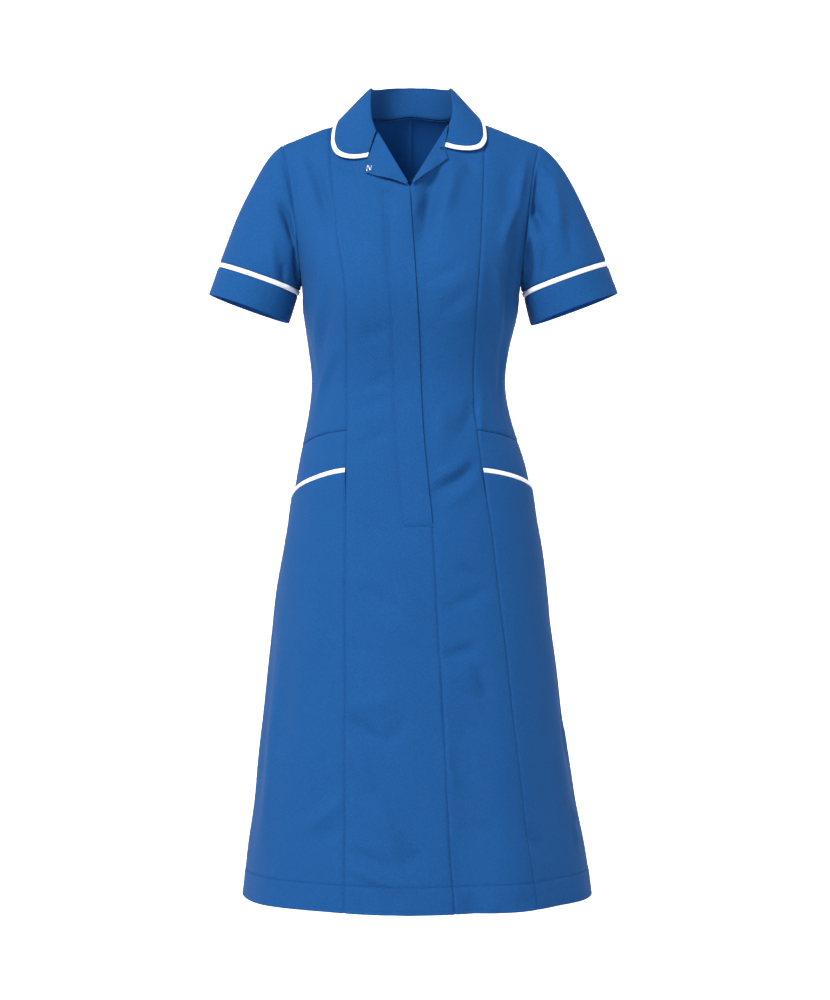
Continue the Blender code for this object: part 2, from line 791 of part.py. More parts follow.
def body_samples():
    """Close points and normals of the upper body, to keep the collar clear of it."""
    points = []
    normals = []
    for degrees in range(0, 360, 3):
        for j in range(28):
            height = mix(-0.085, 0.014, j / 27)
            point = body_point(degrees, height)
            if shoulder_height(point.x) >= height:
                points.append(point)
                normals.append(body_normal(degrees, height))
    for j in range(60):
        x = mix(-0.13, 0.13, j / 59)
        if abs(x) >= NECK_HALF:
            height = shoulder_height(x)
            points.append(Vector((x, 0.0, height)))
            normals.append(body_normal(degrees_at(x, height, "front"), height))
    return np.array(points), np.array(normals)


def clear_of_body(point, need, samples):
    """The point, moved out where it is nearer to the dress than it needs to be."""
    points, normals = samples
    away = np.array(point) - points
    nearest = int(np.argmin((away ** 2).sum(axis=1)))
    height = float(away[nearest] @ normals[nearest])
    if height >= need:
        return point
    return point + Vector(normals[nearest]) * (need - height)


def neck_spot(side, share):
    """Bearing and height of the neck seam, from the collar's front end to the nape."""
    sign = -1.0 if side == "right" else 1.0
    if share <= NECK_SHARE:
        height = mix(LAPELS[side]["top"], shoulder_height(NECK_HALF), share / NECK_SHARE)
        return neck_edge(side, height), height
    back = 1.0 - (share - NECK_SHARE) / (1.0 - NECK_SHARE)
    x = sign * read_table(BACK_NECK, BACK_NECK_COLUMNS, "x", back)
    height = read_table(BACK_NECK, BACK_NECK_COLUMNS, "height", back)
    return degrees_at(x, height, "back"), height


def edge_point(side, share):
    """The collar's outer edge, lying on the dress."""
    sign = -1.0 if side == "right" else 1.0
    if share <= NECK_SHARE:
        x = sign * read_table(EDGE, EDGE_COLUMNS, side + "_x", share)
        height = read_table(EDGE, EDGE_COLUMNS, side + "_height", share)
        spot = degrees_at(x, height, "front"), height
    else:
        x = sign * read_table(BACK_EDGE, BACK_EDGE_COLUMNS, "x", share)
        height = read_table(BACK_EDGE, BACK_EDGE_COLUMNS, "height", share)
        spot = degrees_at(x, height, "back"), height
    return body_point(*spot) + body_normal(*spot) * COLLAR_NEED


def bezier(a, b, c, d, t):
    """A point of a cubic curve."""
    s = 1.0 - t
    return a * s ** 3 + b * 3 * s * s * t + c * 3 * s * t * t + d * t ** 3


def collar_path(side, share, samples):
    """The collar's visible side at one place: up the stand, over the roll, down the fall."""
    spot = neck_spot(side, share)
    normal = body_normal(*spot)
    seam = body_point(*spot)
    round_side = min(share / NECK_SHARE, 1.0)
    up = normal.lerp(Vector((0.0, 0.0, 1.0)), round_side ** 0.7).normalized()
    inward = Vector((-seam.x, -seam.y, 0.0)).normalized()
    rise = read_table(STAND, STAND_COLUMNS, "rise", share)
    lean = read_table(STAND, STAND_COLUMNS, "inward", share)
    foot = seam + normal * 2 * GAP
    top = seam + up * rise + inward * lean
    edge = edge_point(side, share)
    standing = (top - foot).normalized()
    length = (edge - top).length
    handle = min(ROLL_HANDLE, rise * 0.9)
    lying = (edge - top).normalized()
    over = edge - lying * length * 0.35
    path = [foot.lerp(top, j / COLLAR_STAND_CELLS) for j in range(COLLAR_STAND_CELLS + 1)]
    trim = 1.0 - PIPING / length
    for j in range(1, COLLAR_FALL_CELLS + 1):
        t = trim * (j / COLLAR_FALL_CELLS) ** 1.35
        point = bezier(top, top + standing * handle, over, edge, t)
        path.append(clear_of_body(point, COLLAR_NEED, samples))
    path.append(clear_of_body(edge, COLLAR_NEED, samples))
    return path


def grid_normals(points):
    """Normals of a grid of points, from its neighbours along and across."""
    rows = len(points)
    columns = len(points[0])
    normals = []
    for j in range(rows):
        row = []
        for i in range(columns):
            across = points[j][min(i + 1, columns - 1)] - points[j][max(i - 1, 0)]
            along = points[min(j + 1, rows - 1)][i] - points[max(j - 1, 0)][i]
            row.append(across.cross(along).normalized())
        normals.append(row)
    return normals


def make_collar(cloth, piping):
    """Stand and fall in one piece, and the piping round its edge."""
    samples = body_samples()
    paths = [collar_path("right", share, samples) for share in COLLAR_SHARES]
    paths += [collar_path("left", share, samples) for share in reversed(COLLAR_SHARES[:-1])]
    grid = [list(row) for row in zip(*paths)]
    normals = grid_normals(grid)
    fall = pull_in([list(row) for row in grid[:-1]], ("top", "low", "high"))
    wall_object("collar", fall, normals[:-1], cloth)
    proud = [[p + n * PIPING_PROUD for p, n in zip(*pair)] for pair in zip(grid[-2:], normals[-2:])]
    edge = pull_in(proud, ("bottom", "low", "high"), GAP)
    wall_object("collar_trim", edge, normals[-2:], piping, thick=WALL + PIPING_PROUD)


def lapel_outline(side):
    """The lapel's edges as x and height: its foot, its top and its outer edge."""
    sizes = LAPELS[side]
    centre = read_table(SEAMS, SEAM_COLUMNS, "centre", V_POINT)
    foot = (centre, V_POINT)
    neck = math.copysign(NECK_HALF, -1.0 if side == "right" else 1.0)
    share = (sizes["top"] - V_POINT) / (shoulder_height(NECK_HALF) - V_POINT)
    top = (mix(centre, neck, share), sizes["top"])
    return foot, top, sizes["notch"], sizes["tip"]


def lapel_spot(side, across, up):
    """Bearing and height of a point of the lapel."""
    foot, top, notch, tip = lapel_outline(side)
    if across <= NOTCH_SHARE:
        head = [mix(a, b, across / NOTCH_SHARE) for a, b in zip(top, notch)]
    else:
        beyond = (across - NOTCH_SHARE) / (1.0 - NOTCH_SHARE)
        head = [mix(a, b, beyond) for a, b in zip(notch, tip)]
    straight = [mix(a, b, across) for a, b in zip(top, tip)]
    x, height = [mix(f, s + (h - s) * up, up) for f, s, h in zip(foot, straight, head)]
    return degrees_at(x, height, "front"), height


def make_lapel(side, cloth):
    """The turned-back corner of a front, from its roll to its outer edge."""
    beyond = WALL + GAP
    above = WALL + LIFT
    sign = 1.0 if side == "right" else -1.0
    points = []
    normals = []
    for j in range(LAPEL_ROWS + 1):
        up = mix(LAPEL_START, 1.0, j / LAPEL_ROWS)
        spot = lapel_spot(side, 0.0, up)
        edge = body_point(*spot)
        out = body_normal(*spot)
        ahead = body_point(*lapel_spot(side, 0.0, min(up + 0.01, 1.01))) - edge
        past = ahead.cross(out).normalized() * sign
        corner = (past + out).normalized()
        row = [
            edge + past * beyond - out * WALL * 0.5,
            edge + past * beyond * 0.9 + out * above * 0.65,
            edge + past * beyond * 0.2 + out * above,
        ]
        row_normals = [past, corner, out]
        for across in LAPEL_SHARES[1:]:
            spot = lapel_spot(side, across, up)
            row_normals.append(body_normal(*spot))
            row.append(body_point(*spot) + row_normals[-1] * above)
        points.append(row)
        normals.append(row_normals)
    wall_object("lapel_" + side, pull_in(points, ("top",), 3 * GAP), normals, cloth)


def wire_object(name, points, material):
    """A bent wire through a list of points."""
    curve = bpy.data.curves.new(name, "CURVE")
    curve.dimensions = "3D"
    curve.bevel_depth = WIRE_RADIUS
    curve.bevel_resolution = 2
    curve.use_fill_caps = True
    spline = curve.splines.new("POLY")
    spline.points.add(len(points) - 1)
    for knot, point in zip(spline.points, points):
        knot.co = (*point, 1.0)
    curve.materials.append(material)
    piece = bpy.data.objects.new(name, curve)
    bpy.context.scene.collection.objects.link(piece)
    return piece


def lapel_plane(x, height):
    """A spot on a lapel: its middle, the directions across and up it, and out."""
    spot = degrees_at(x, height, "front"), height
    out = body_normal(*spot)
    across = Vector((1.0, 0.0, 0.0)) - out * out.x
    across.normalize()
    middle = body_point(*spot) + out * (WALL + LIFT + GAP + WIRE_RADIUS)
    return middle, across, out.cross(across)


def make_hook_and_eye(wire):
    """The wire fastening of the neck: a hook on the right lapel, an eye on the left."""
    middle, across, up = lapel_plane(*HOOK_SPOT)
    points = [middle + across * HOOK_WIDTH / 2 - up * HOOK_LENGTH * 0.5]
    for i in range(9):
        turn = math.pi * i / 8
        bend = across * math.cos(turn) + up * math.sin(turn)
        points.append(middle + bend * HOOK_WIDTH / 2 + up * HOOK_LENGTH * 0.3)
    points.append(middle - across * HOOK_WIDTH / 2 - up * HOOK_LENGTH * 0.2)
    wire_object("collar_hook", points, wire)
    middle, across, up = lapel_plane(*EYE_SPOT)
    points = []
    for i in range(15):
        turn = math.radians(-60 + 20 * i)
        points.append(middle + (across * math.cos(turn) + up * math.sin(turn)) * EYE_RADIUS)
    wire_object("collar_eye", points, wire)


clear_scene()
CLOTH = make_material("poly_cotton", "#3469AC", 0.75, 0.0)
WHITE = make_material("white_piping", "#F4F5F7", 0.7, 0.0)
WIRE = make_material("nickel_wire", "#C9CCD0", 0.3, 1.0)
ROWS = lower_rows()
for SIDE in ("right", "left"):
    make_fronts(SIDE, ROWS, CLOTH)
    make_side_fronts(SIDE, ROWS, CLOTH, WHITE)
    make_back(SIDE, ROWS, CLOTH)
    make_sleeve(SIDE, CLOTH, WHITE)
make_placket(ROWS, CLOTH)
make_collar(CLOTH, WHITE)
for SIDE in ("right", "left"):
    make_lapel(SIDE, CLOTH)
make_hook_and_eye(WIRE)
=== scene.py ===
"""Looks of a nurse's uniform dress, filled out and hollow, with nobody in it.

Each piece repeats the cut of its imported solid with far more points, and adds what
sewing and hanging give: rolled seams, soft folds, stitches, piping and weave.
Metres throughout. "Right" and "left" are the wearer's, so the right side is at -X.
"""

import bpy
import math
import numpy as np
from bpy.props import FloatProperty, FloatVectorProperty, PointerProperty
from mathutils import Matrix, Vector


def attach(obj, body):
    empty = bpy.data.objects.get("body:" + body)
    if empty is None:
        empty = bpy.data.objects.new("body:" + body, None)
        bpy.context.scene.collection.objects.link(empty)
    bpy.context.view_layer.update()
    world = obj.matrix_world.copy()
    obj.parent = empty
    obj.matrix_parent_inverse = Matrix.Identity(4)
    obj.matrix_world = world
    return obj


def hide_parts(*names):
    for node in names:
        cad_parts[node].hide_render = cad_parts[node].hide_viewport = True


bl_info = {
    "name": "Nurse uniform dress",
    "version": (1, 0, 0),
    "blender": (4, 5, 0),
    "location": "View3D > Sidebar > Dress",
    "description": "Dresses the packed solids of a nurse's uniform in sewn cloth",
    "category": "Object",
}

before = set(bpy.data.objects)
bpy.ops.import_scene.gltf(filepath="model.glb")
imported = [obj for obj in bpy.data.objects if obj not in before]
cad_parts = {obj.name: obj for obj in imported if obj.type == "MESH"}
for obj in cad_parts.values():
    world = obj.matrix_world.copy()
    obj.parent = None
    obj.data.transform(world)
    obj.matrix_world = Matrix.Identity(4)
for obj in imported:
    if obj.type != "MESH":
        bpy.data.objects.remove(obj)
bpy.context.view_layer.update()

# Sizes that the solids share
WALL = 0.0015
LIFT = 0.0005
GAP = 0.0003
PIPING = 0.006
PIPING_PROUD = 0.0006
HEM = -1.032
FLY_END = -0.541
POCKET_MOUTH = -0.465
POCKET_SEAM = -0.4155
HIP_FREE = -0.620
WAIST = -0.354
UNDERARM = -0.222
V_POINT = -0.098
NAPE = 0.015
NECK_HALF = 0.062
TIP_HALF = 0.1715
TIP_HEIGHT = -0.0310
SHOULDER_SLOPE = 0.38
NECK_RISE = 0.016
NECK_RISE_HALF = 0.080
NECK_ARCH = 0.0446
NECK_ARCH_EASE = 0.0150
ROUND_FRONT = 0.20
ROUND_BACK = 0.12
SHOULDER_SHARE = 0.62    # of the back's top edge, from shoulder tip to side neck point

RING_COLUMNS = ("height", "x_right", "x_left", "front", "back", "square")
RINGS = (
    (-1.032, -0.2258, 0.2405, 0.180, 0.178, 2.05),
    (-0.965, -0.2170, 0.2315, 0.173, 0.173, 2.05),
    (-0.900, -0.2090, 0.2185, 0.164, 0.167, 2.06),
    (-0.804, -0.1995, 0.2060, 0.154, 0.160, 2.08),
    (-0.675, -0.1836, 0.1890, 0.140, 0.149, 2.12),
    (-0.547, -0.1662, 0.1710, 0.126, 0.137, 2.20),
    (-0.466, -0.1518, 0.1545, 0.115, 0.125, 2.28),
    (-0.402, -0.1382, 0.1342, 0.105, 0.106, 2.32),
    (-0.354, -0.1327, 0.1273, 0.100, 0.092, 2.34),
    (-0.306, -0.1367, 0.1315, 0.107, 0.090, 2.36),
    (-0.257, -0.1440, 0.1430, 0.118, 0.097, 2.38),
    (-0.222, -0.1460, 0.1460, 0.121, 0.101, 2.40),
    (-0.190, -0.1540, 0.1540, 0.116, 0.104, 2.40),
    (-0.150, -0.1660, 0.1660, 0.104, 0.105, 2.40),
    (-0.110, -0.1780, 0.1780, 0.091, 0.103, 2.40),
    (-0.070, -0.1900, 0.1900, 0.078, 0.100, 2.40),
    (-0.030, -0.2000, 0.2000, 0.068, 0.095, 2.40),
    (0.030, -0.2050, 0.2050, 0.060, 0.090, 2.40),
)
SEAM_COLUMNS = ("height", "right", "centre", "left")
SEAMS = (
    (-1.032, -0.0851, 0.0570, 0.1619),
    (-0.900, -0.0852, 0.0477, 0.1455),
    (-0.788, -0.0852, 0.0424, 0.1330),
    (-0.662, -0.0853, 0.0348, 0.1187),
    (-0.545, -0.0853, 0.0285, 0.1055),
    (-0.480, -0.0850, 0.0218, 0.0958),
    (-0.4155, -0.0845, 0.0160, 0.0871),
    (-0.352, -0.0836, 0.0127, 0.0822),
    (-0.300, -0.0834, 0.0110, 0.0836),
    (-0.234, -0.0858, 0.0075, 0.0875),
    (-0.167, -0.0960, 0.0030, 0.0925),
    (-0.098, -0.1035, -0.0013, 0.0955),
    (-0.060, -0.1062, -0.0013, 0.0968),
    (-0.005, -0.1087, -0.0013, 0.0980),
)
SWING_COLUMNS = ("height", "side", "back_x")
SWING = (
    (-1.032, 5.0, -0.040),
    (-0.780, 3.0, -0.024),
    (-0.540, 1.0, -0.009),
    (-0.400, 0.0, 0.0),
    (0.030, 0.0, 0.0),
)
ARMHOLE_COLUMNS = ("share", "front_degrees", "front_height", "back_degrees", "back_height")
ARMHOLE = (
    (0.00, 0.0, -0.222, 0.0, -0.222),
    (0.10, 8.0, -0.214, 7.5, -0.214),
    (0.20, 14.0, -0.199, 13.0, -0.199),
    (0.35, 20.5, -0.173, 18.0, -0.173),
    (0.50, 25.5, -0.146, 21.5, -0.146),
    (0.65, 29.0, -0.116, 24.5, -0.115),
    (0.78, 31.8, -0.088, 27.5, -0.087),
    (0.89, 33.4, -0.060, 30.5, -0.060),
    (1.00, 32.8, -0.0310, 32.8, -0.0310),
)
BACK_NECK_COLUMNS = ("share", "x", "height")
BACK_NECK = (
    (0.00, 0.000, 0.0150),
    (0.08, 0.005, 0.0149),
    (0.40, 0.025, 0.0115),
    (0.72, 0.045, 0.0085),
    (0.90, 0.056, 0.0095),
    (1.00, 0.062, 0.0114),
)
DROP_COLUMNS = ("height", "right", "left")
DROPS = (
    (-0.620, 0.000, 0.0000),
    (-0.545, 0.022, 0.0160),
    (-0.465, 0.035, 0.0255),
    (-0.4155, 0.020, 0.0160),
    (-0.360, 0.000, 0.0000),
)
DROP_CURVE = 1.3
POCKET_LIFT = WALL + LIFT
FLUTES = (
    (20.0, 13.0, 0.0045),
    (52.0, 12.0, -0.0050),
    (80.0, 12.0, 0.0060),
    (108.0, 11.0, -0.0050),
    (138.0, 12.0, 0.0055),
    (163.0, 10.0, -0.0040),
    (212.0, 11.0, 0.0035),
    (236.0, 10.0, -0.0035),
    (262.0, 10.0, 0.0030),
    (287.0, 6.0, -0.0050),
    (303.0, 8.0, 0.0050),
    (324.0, 9.0, -0.0045),
)
FLUTE_TOP = -0.56
BUST_X = 0.078
BUST_HEIGHT = -0.232
BUST_SPREAD = 0.050
BUST_RISE = 0.065
BUST_DEPTH = 0.010

CUFF_DEPTH = 0.039
CUFF_HALF_DEPTH = 0.054
SLEEVE_SIDES = {
    "right": {"outer": (-0.2705, -0.2315), "inner": (-0.1630, -0.2700), "sign": -1.0, "cap": 0.62},
    "left": {"outer": (0.2770, -0.2300), "inner": (0.1605, -0.2730), "sign": 1.0, "cap": 0.74},
}
NECK_SHARE = 0.45
STAND_COLUMNS = ("share", "rise", "inward")
STAND = (
    (0.00, 0.0035, 0.0000),
    (0.15, 0.0090, 0.0010),
    (0.30, 0.0210, 0.0050),
    (0.45, 0.0330, 0.0090),
    (0.60, 0.0400, 0.0080),
    (0.80, 0.0410, 0.0030),
    (0.94, 0.0393, 0.0002),
    (1.00, 0.0392, 0.0000),
)
ROLL_HANDLE = 0.008
COLLAR_NEED = WALL + 0.0012
EDGE_COLUMNS = ("share", "right_x", "right_height", "left_x", "left_height")
EDGE = (
    (0.00, 0.0568, -0.0564, 0.0447, -0.0423),
    (0.07, 0.0720, -0.0590, 0.0600, -0.0465),
    (0.14, 0.0871, -0.0577, 0.0778, -0.0476),
    (0.21, 0.0985, -0.0515, 0.0915, -0.0440),
    (0.28, 0.1040, -0.0400, 0.0985, -0.0340),
    (0.35, 0.1048, -0.0285, 0.0996, -0.0230),
    (0.40, 0.1035, -0.0150, 0.0985, -0.0120),
    (0.45, 0.1000, -0.0038, 0.0955, -0.0021),
)
BACK_EDGE_COLUMNS = ("share", "x", "height")
BACK_EDGE = (
    (0.45, 0.0980, -0.0031),
    (0.50, 0.0950, -0.0045),
    (0.56, 0.0880, -0.0042),
    (0.64, 0.0740, -0.0027),
    (0.74, 0.0530, -0.0010),
    (0.86, 0.0280, -0.0003),
    (1.00, 0.0000, 0.0000),
)
LAPELS = {
    "right": {"top": -0.0200, "notch": (-0.0568, -0.0564), "tip": (-0.0594, -0.0784)},
    "left": {"top": -0.0105, "notch": (0.0447, -0.0423), "tip": (0.0488, -0.0577)},
}
NOTCH_SHARE = 0.62
UNDER_LAPEL = 0.07       # how much higher the fly goes, as a share of the panel's top part
FLY_SHARE = 0.70         # where the fly's stitching runs, from princess seam to front edge

# Folds, one by one: where each starts and ends, its bow, half width and depth.
# On front and back "across" is x, on the sides it is degrees round the body.
FOLD_COLUMNS = ("face", "across_0", "height_0", "across_1", "height_1", "bow", "half", "depth")
FOLDS = (
    ("front", -0.139, -0.046, -0.104, -0.162, 0.0039, 0.0077, -0.0062),
    ("front", -0.147, -0.041, -0.123, -0.133, 0.0039, 0.0064, 0.0026),
    ("front", -0.160, -0.060, -0.153, -0.114, 0.0000, 0.0045, -0.0022),
    ("front", -0.120, -0.181, -0.126, -0.305, 0.0013, 0.0064, 0.0039),
    ("front", -0.107, -0.218, -0.120, -0.319, 0.0026, 0.0077, -0.0046),
    ("front", -0.094, -0.301, -0.125, -0.392, -0.0039, 0.0058, 0.0030),
    ("front", -0.102, -0.332, -0.116, -0.407, 0.0000, 0.0064, -0.0023),
    ("front", -0.079, -0.389, -0.030, -0.373, 0.0026, 0.0064, -0.0023),
    ("front", -0.069, -0.365, -0.027, -0.342, 0.0026, 0.0064, -0.0021),
    ("front", -0.077, -0.407, -0.025, -0.394, 0.0026, 0.0064, 0.0018),
    ("front", -0.082, -0.439, -0.019, -0.413, 0.0039, 0.0064, -0.0026),
    ("front", -0.027, -0.122, -0.025, -0.197, 0.0000, 0.0064, -0.0021),
    ("front", -0.071, -0.298, -0.030, -0.285, 0.0026, 0.0090, -0.0018),
    ("front", -0.077, -0.197, -0.035, -0.247, 0.0000, 0.0129, -0.0021),
    ("front", 0.040, -0.071, 0.013, -0.181, -0.0026, 0.0116, -0.0110),
    ("front", 0.025, -0.095, 0.017, -0.144, 0.0000, 0.0090, -0.0058),
    ("front", 0.059, -0.065, 0.041, -0.136, 0.0000, 0.0116, 0.0074),
    ("front", 0.072, -0.068, 0.085, -0.076, 0.0000, 0.0064, -0.0036),
    ("front", 0.022, -0.223, 0.072, -0.197, 0.0039, 0.0090, -0.0029),
    ("front", 0.035, -0.270, 0.077, -0.231, 0.0039, 0.0103, -0.0029),
    ("front", 0.082, -0.373, 0.059, -0.431, 0.0039, 0.0103, -0.0041),
    ("front", 0.046, -0.379, 0.038, -0.439, 0.0000, 0.0103, 0.0025),
    ("front", 0.022, -0.501, 0.086, -0.460, 0.0064, 0.0064, -0.0057),
    ("front", 0.020, -0.483, 0.077, -0.448, 0.0064, 0.0064, 0.0036),
    ("front", 0.038, -0.517, 0.090, -0.478, 0.0052, 0.0077, 0.0025),
    ("front", 0.155, -0.049, 0.141, -0.122, -0.0026, 0.0058, 0.0046),
    ("front", 0.141, -0.119, 0.119, -0.181, -0.0039, 0.0064, 0.0052),
    ("front", 0.130, -0.062, 0.124, -0.130, 0.0000, 0.0103, -0.0033),
    ("front", 0.112, -0.197, 0.116, -0.311, 0.0026, 0.0058, 0.0033),
    ("front", 0.102, -0.197, 0.103, -0.298, 0.0000, 0.0052, -0.0014),
    ("front", 0.093, -0.355, 0.091, -0.426, 0.0000, 0.0039, 0.0031),
    ("front", 0.141, -0.162, 0.126, -0.285, -0.0026, 0.0077, -0.0056),
    ("front", 0.120, -0.285, 0.115, -0.402, 0.0000, 0.0077, -0.0025),
    ("front", -0.120, -0.618, -0.099, -0.693, 0.0039, 0.0103, -0.0041),
    ("front", -0.143, -0.657, -0.110, -0.700, 0.0039, 0.0129, 0.0036),
    ("front", -0.137, -0.930, -0.088, -0.888, 0.0026, 0.0090, 0.0061),
    ("front", -0.122, -0.945, -0.088, -0.923, 0.0026, 0.0077, -0.0025),
    ("front", -0.083, -0.813, -0.050, -0.882, 0.0039, 0.0103, 0.0058),
    ("front", -0.050, -0.882, -0.016, -0.958, 0.0026, 0.0116, 0.0065),
    ("front", -0.082, -0.784, -0.032, -0.818, -0.0052, 0.0090, -0.0058),
    ("front", -0.035, -0.821, -0.006, -0.780, 0.0039, 0.0103, -0.0037),
    ("front", -0.084, -0.772, -0.009, -0.757, 0.0039, 0.0103, 0.0029),
    ("front", -0.085, -0.687, -0.058, -0.703, 0.0000, 0.0077, -0.0031),
    ("front", -0.084, -0.971, -0.011, -1.003, 0.0039, 0.0064, 0.0057),
    ("front", -0.084, -0.950, -0.019, -0.978, 0.0039, 0.0077, -0.0043),
    ("front", -0.019, -0.971, 0.017, -0.953, 0.0026, 0.0090, -0.0036),
    ("front", 0.038, -0.708, 0.087, -0.695, 0.0052, 0.0077, -0.0046),
    ("front", 0.082, -0.721, 0.103, -0.762, 0.0000, 0.0077, -0.0043),
    ("front", 0.035, -0.718, 0.092, -0.754, 0.0039, 0.0103, 0.0050),
    ("front", 0.035, -0.651, 0.101, -0.620, 0.0052, 0.0090, -0.0033),
    ("front", 0.053, -0.592, 0.097, -0.608, 0.0000, 0.0064, -0.0031),
    ("front", -0.071, -0.620, -0.027, -0.644, 0.0039, 0.0116, -0.0037),
    ("front", -0.022, -0.615, 0.020, -0.664, 0.0026, 0.0116, 0.0042),
    ("front", -0.069, -0.517, -0.030, -0.564, 0.0026, 0.0116, -0.0037),
    ("front", -0.050, -0.657, 0.012, -0.687, 0.0026, 0.0155, 0.0031),
    ("front", 0.043, -0.821, 0.058, -0.882, 0.0000, 0.0077, 0.0031),
    ("front", 0.045, -0.851, 0.066, -0.846, 0.0000, 0.0052, -0.0021),
    ("front", 0.058, -0.785, 0.097, -0.816, 0.0026, 0.0116, -0.0028),
    ("front", 0.063, -0.917, 0.114, -0.938, 0.0026, 0.0116, -0.0028),
    ("front", 0.149, -0.933, 0.175, -0.966, 0.0026, 0.0077, -0.0043),
    ("front", 0.053, -0.940, 0.066, -0.998, 0.0000, 0.0077, -0.0025),
    ("front", 0.212, -0.900, 0.221, -0.976, 0.0000, 0.0039, 0.0040),
    ("front", 0.193, -0.662, 0.207, -0.854, 0.0026, 0.0116, -0.0065),
    ("front", -0.034, -1.014, -0.019, -1.032, 0.0000, 0.0052, -0.0029),
    ("front", -0.075, -1.014, -0.057, -1.029, 0.0000, 0.0064, -0.0023),
    ("front", -0.016, -1.016, 0.004, -1.034, 0.0000, 0.0064, 0.0023),
    ("front", 0.068, -1.015, 0.089, -1.034, 0.0000, 0.0052, -0.0029),
    ("front", 0.094, -1.014, 0.112, -1.031, 0.0000, 0.0064, 0.0023),
    ("front", 0.132, -1.014, 0.155, -1.026, 0.0000, 0.0064, -0.0031),
    ("front", -0.159, -0.700, -0.171, -0.841, 0.0000, 0.0155, -0.0037),
    ("front", -0.051, -0.092, -0.009, -0.107, -0.0013, 0.0058, -0.0037),
    ("front", 0.046, -0.068, 0.007, -0.105, 0.0013, 0.0071, -0.0062),
    ("front", -0.096, -0.068, -0.059, -0.069, 0.0000, 0.0058, -0.0035),
    ("front", 0.054, -0.058, 0.089, -0.060, 0.0000, 0.0058, -0.0042),
    ("front", -0.179, -0.764, -0.191, -0.955, 0.0000, 0.0116, 0.0033),
    ("back", -0.060, -0.060, -0.020, -0.170, 0.006, 0.014, -0.0022),
    ("back", 0.064, -0.070, 0.034, -0.190, 0.006, 0.015, -0.0020),
    ("back", -0.138, -0.150, -0.080, -0.250, 0.006, 0.013, 0.0024),
    ("back", 0.140, -0.140, 0.086, -0.262, -0.006, 0.014, 0.0024),
    ("back", -0.110, -0.280, -0.040, -0.345, 0.004, 0.012, -0.0024),
    ("back", -0.020, -0.320, 0.060, -0.300, 0.004, 0.011, -0.0020),
    ("back", 0.112, -0.300, 0.050, -0.372, 0.003, 0.012, -0.0022),
    ("back", -0.060, -0.400, 0.010, -0.440, 0.003, 0.014, 0.0020),
    ("back", -0.120, -0.540, -0.096, -0.800, 0.010, 0.022, 0.0030),
    ("back", 0.060, -0.520, 0.084, -0.790, 0.008, 0.024, -0.0028),
    ("back", -0.040, -0.660, -0.070, -0.960, 0.008, 0.020, -0.0030),
    ("back", 0.130, -0.700, 0.150, -1.000, 0.006, 0.020, 0.0030),
    ("side", 4.0, -0.260, 16.0, -0.360, 2.0, 0.011, -0.0022),
    ("side", 346.0, -0.270, 337.0, -0.372, 2.0, 0.011, 0.0018),
    ("side", 8.0, -0.520, 14.0, -0.800, 3.0, 0.020, 0.0028),
    ("side", 352.0, -0.640, 346.0, -0.960, 3.0, 0.018, -0.0028),
    ("side", 184.0, -0.262, 198.0, -0.356, 2.0, 0.011, -0.0022),
    ("side", 174.0, -0.270, 163.0, -0.366, 2.0, 0.011, 0.0020),
    ("side", 176.0, -0.540, 170.0, -0.820, 3.0, 0.020, 0.0028),
    ("side", 190.0, -0.660, 194.0, -0.980, 3.0, 0.016, -0.0026),
)

# Folds of the sleeves: degrees round (0 shoulder, 90 front, 180 under) and the share
# of the way down, at both ends, with half width and depth
SLEEVE_FOLDS = {
    "right": (
        (47.0, 0.16, 115.0, 0.00, 0.0065, -0.0112),
        (115.0, 0.00, 163.0, 0.11, 0.0052, -0.0066),
        (110.0, 0.36, 132.0, 0.53, 0.0039, -0.0028),
        (76.0, 0.35, 115.0, 0.59, 0.0052, 0.0030),
        (10.0, 0.00, 37.0, 0.00, 0.0039, -0.0024),
        (12.0, 0.06, 44.0, 0.08, 0.0052, 0.0020),
        (42.0, 0.36, 70.0, 0.63, 0.0104, -0.0026),
        (250.0, 0.10, 220.0, 0.60, 0.0120, -0.0068),
        (285.0, 0.16, 262.0, 0.70, 0.0140, -0.0041),
        (320.0, 0.30, 305.0, 0.85, 0.0160, 0.0032),
        (302.0, 0.08, 284.0, 0.42, 0.0100, -0.0049),
    ),
    "left": (
        (22.0, 0.00, 77.0, 0.00, 0.0104, -0.0112),
        (58.0, 0.00, 78.0, 0.29, 0.0091, -0.0112),
        (102.0, 0.00, 157.0, 0.28, 0.0065, -0.0095),
        (82.0, 0.31, 116.0, 0.51, 0.0052, -0.0038),
        (96.0, 0.12, 119.0, 0.28, 0.0039, 0.0028),
        (12.0, 0.15, 60.0, 0.39, 0.0091, 0.0066),
        (39.0, 0.38, 70.0, 0.62, 0.0091, -0.0031),
        (10.0, 0.05, 19.0, 0.22, 0.0065, -0.0022),
        (246.0, 0.10, 222.0, 0.62, 0.0120, -0.0070),
        (282.0, 0.14, 258.0, 0.66, 0.0140, -0.0041),
        (318.0, 0.30, 300.0, 0.84, 0.0160, 0.0032),
        (300.0, 0.06, 288.0, 0.40, 0.0100, -0.0049),
    ),
}

# Slow unevenness of hanging cloth: wave number along x, y, z, then phase and height
UNEVEN = (
    (31.0, 17.0, 19.0, 0.3, 0.00045),
    (-23.0, 29.0, 37.0, 1.7, 0.00040),
    (61.0, -41.0, 53.0, 2.9, 0.00022),
    (-71.0, 67.0, -47.0, 4.1, 0.00018),
)

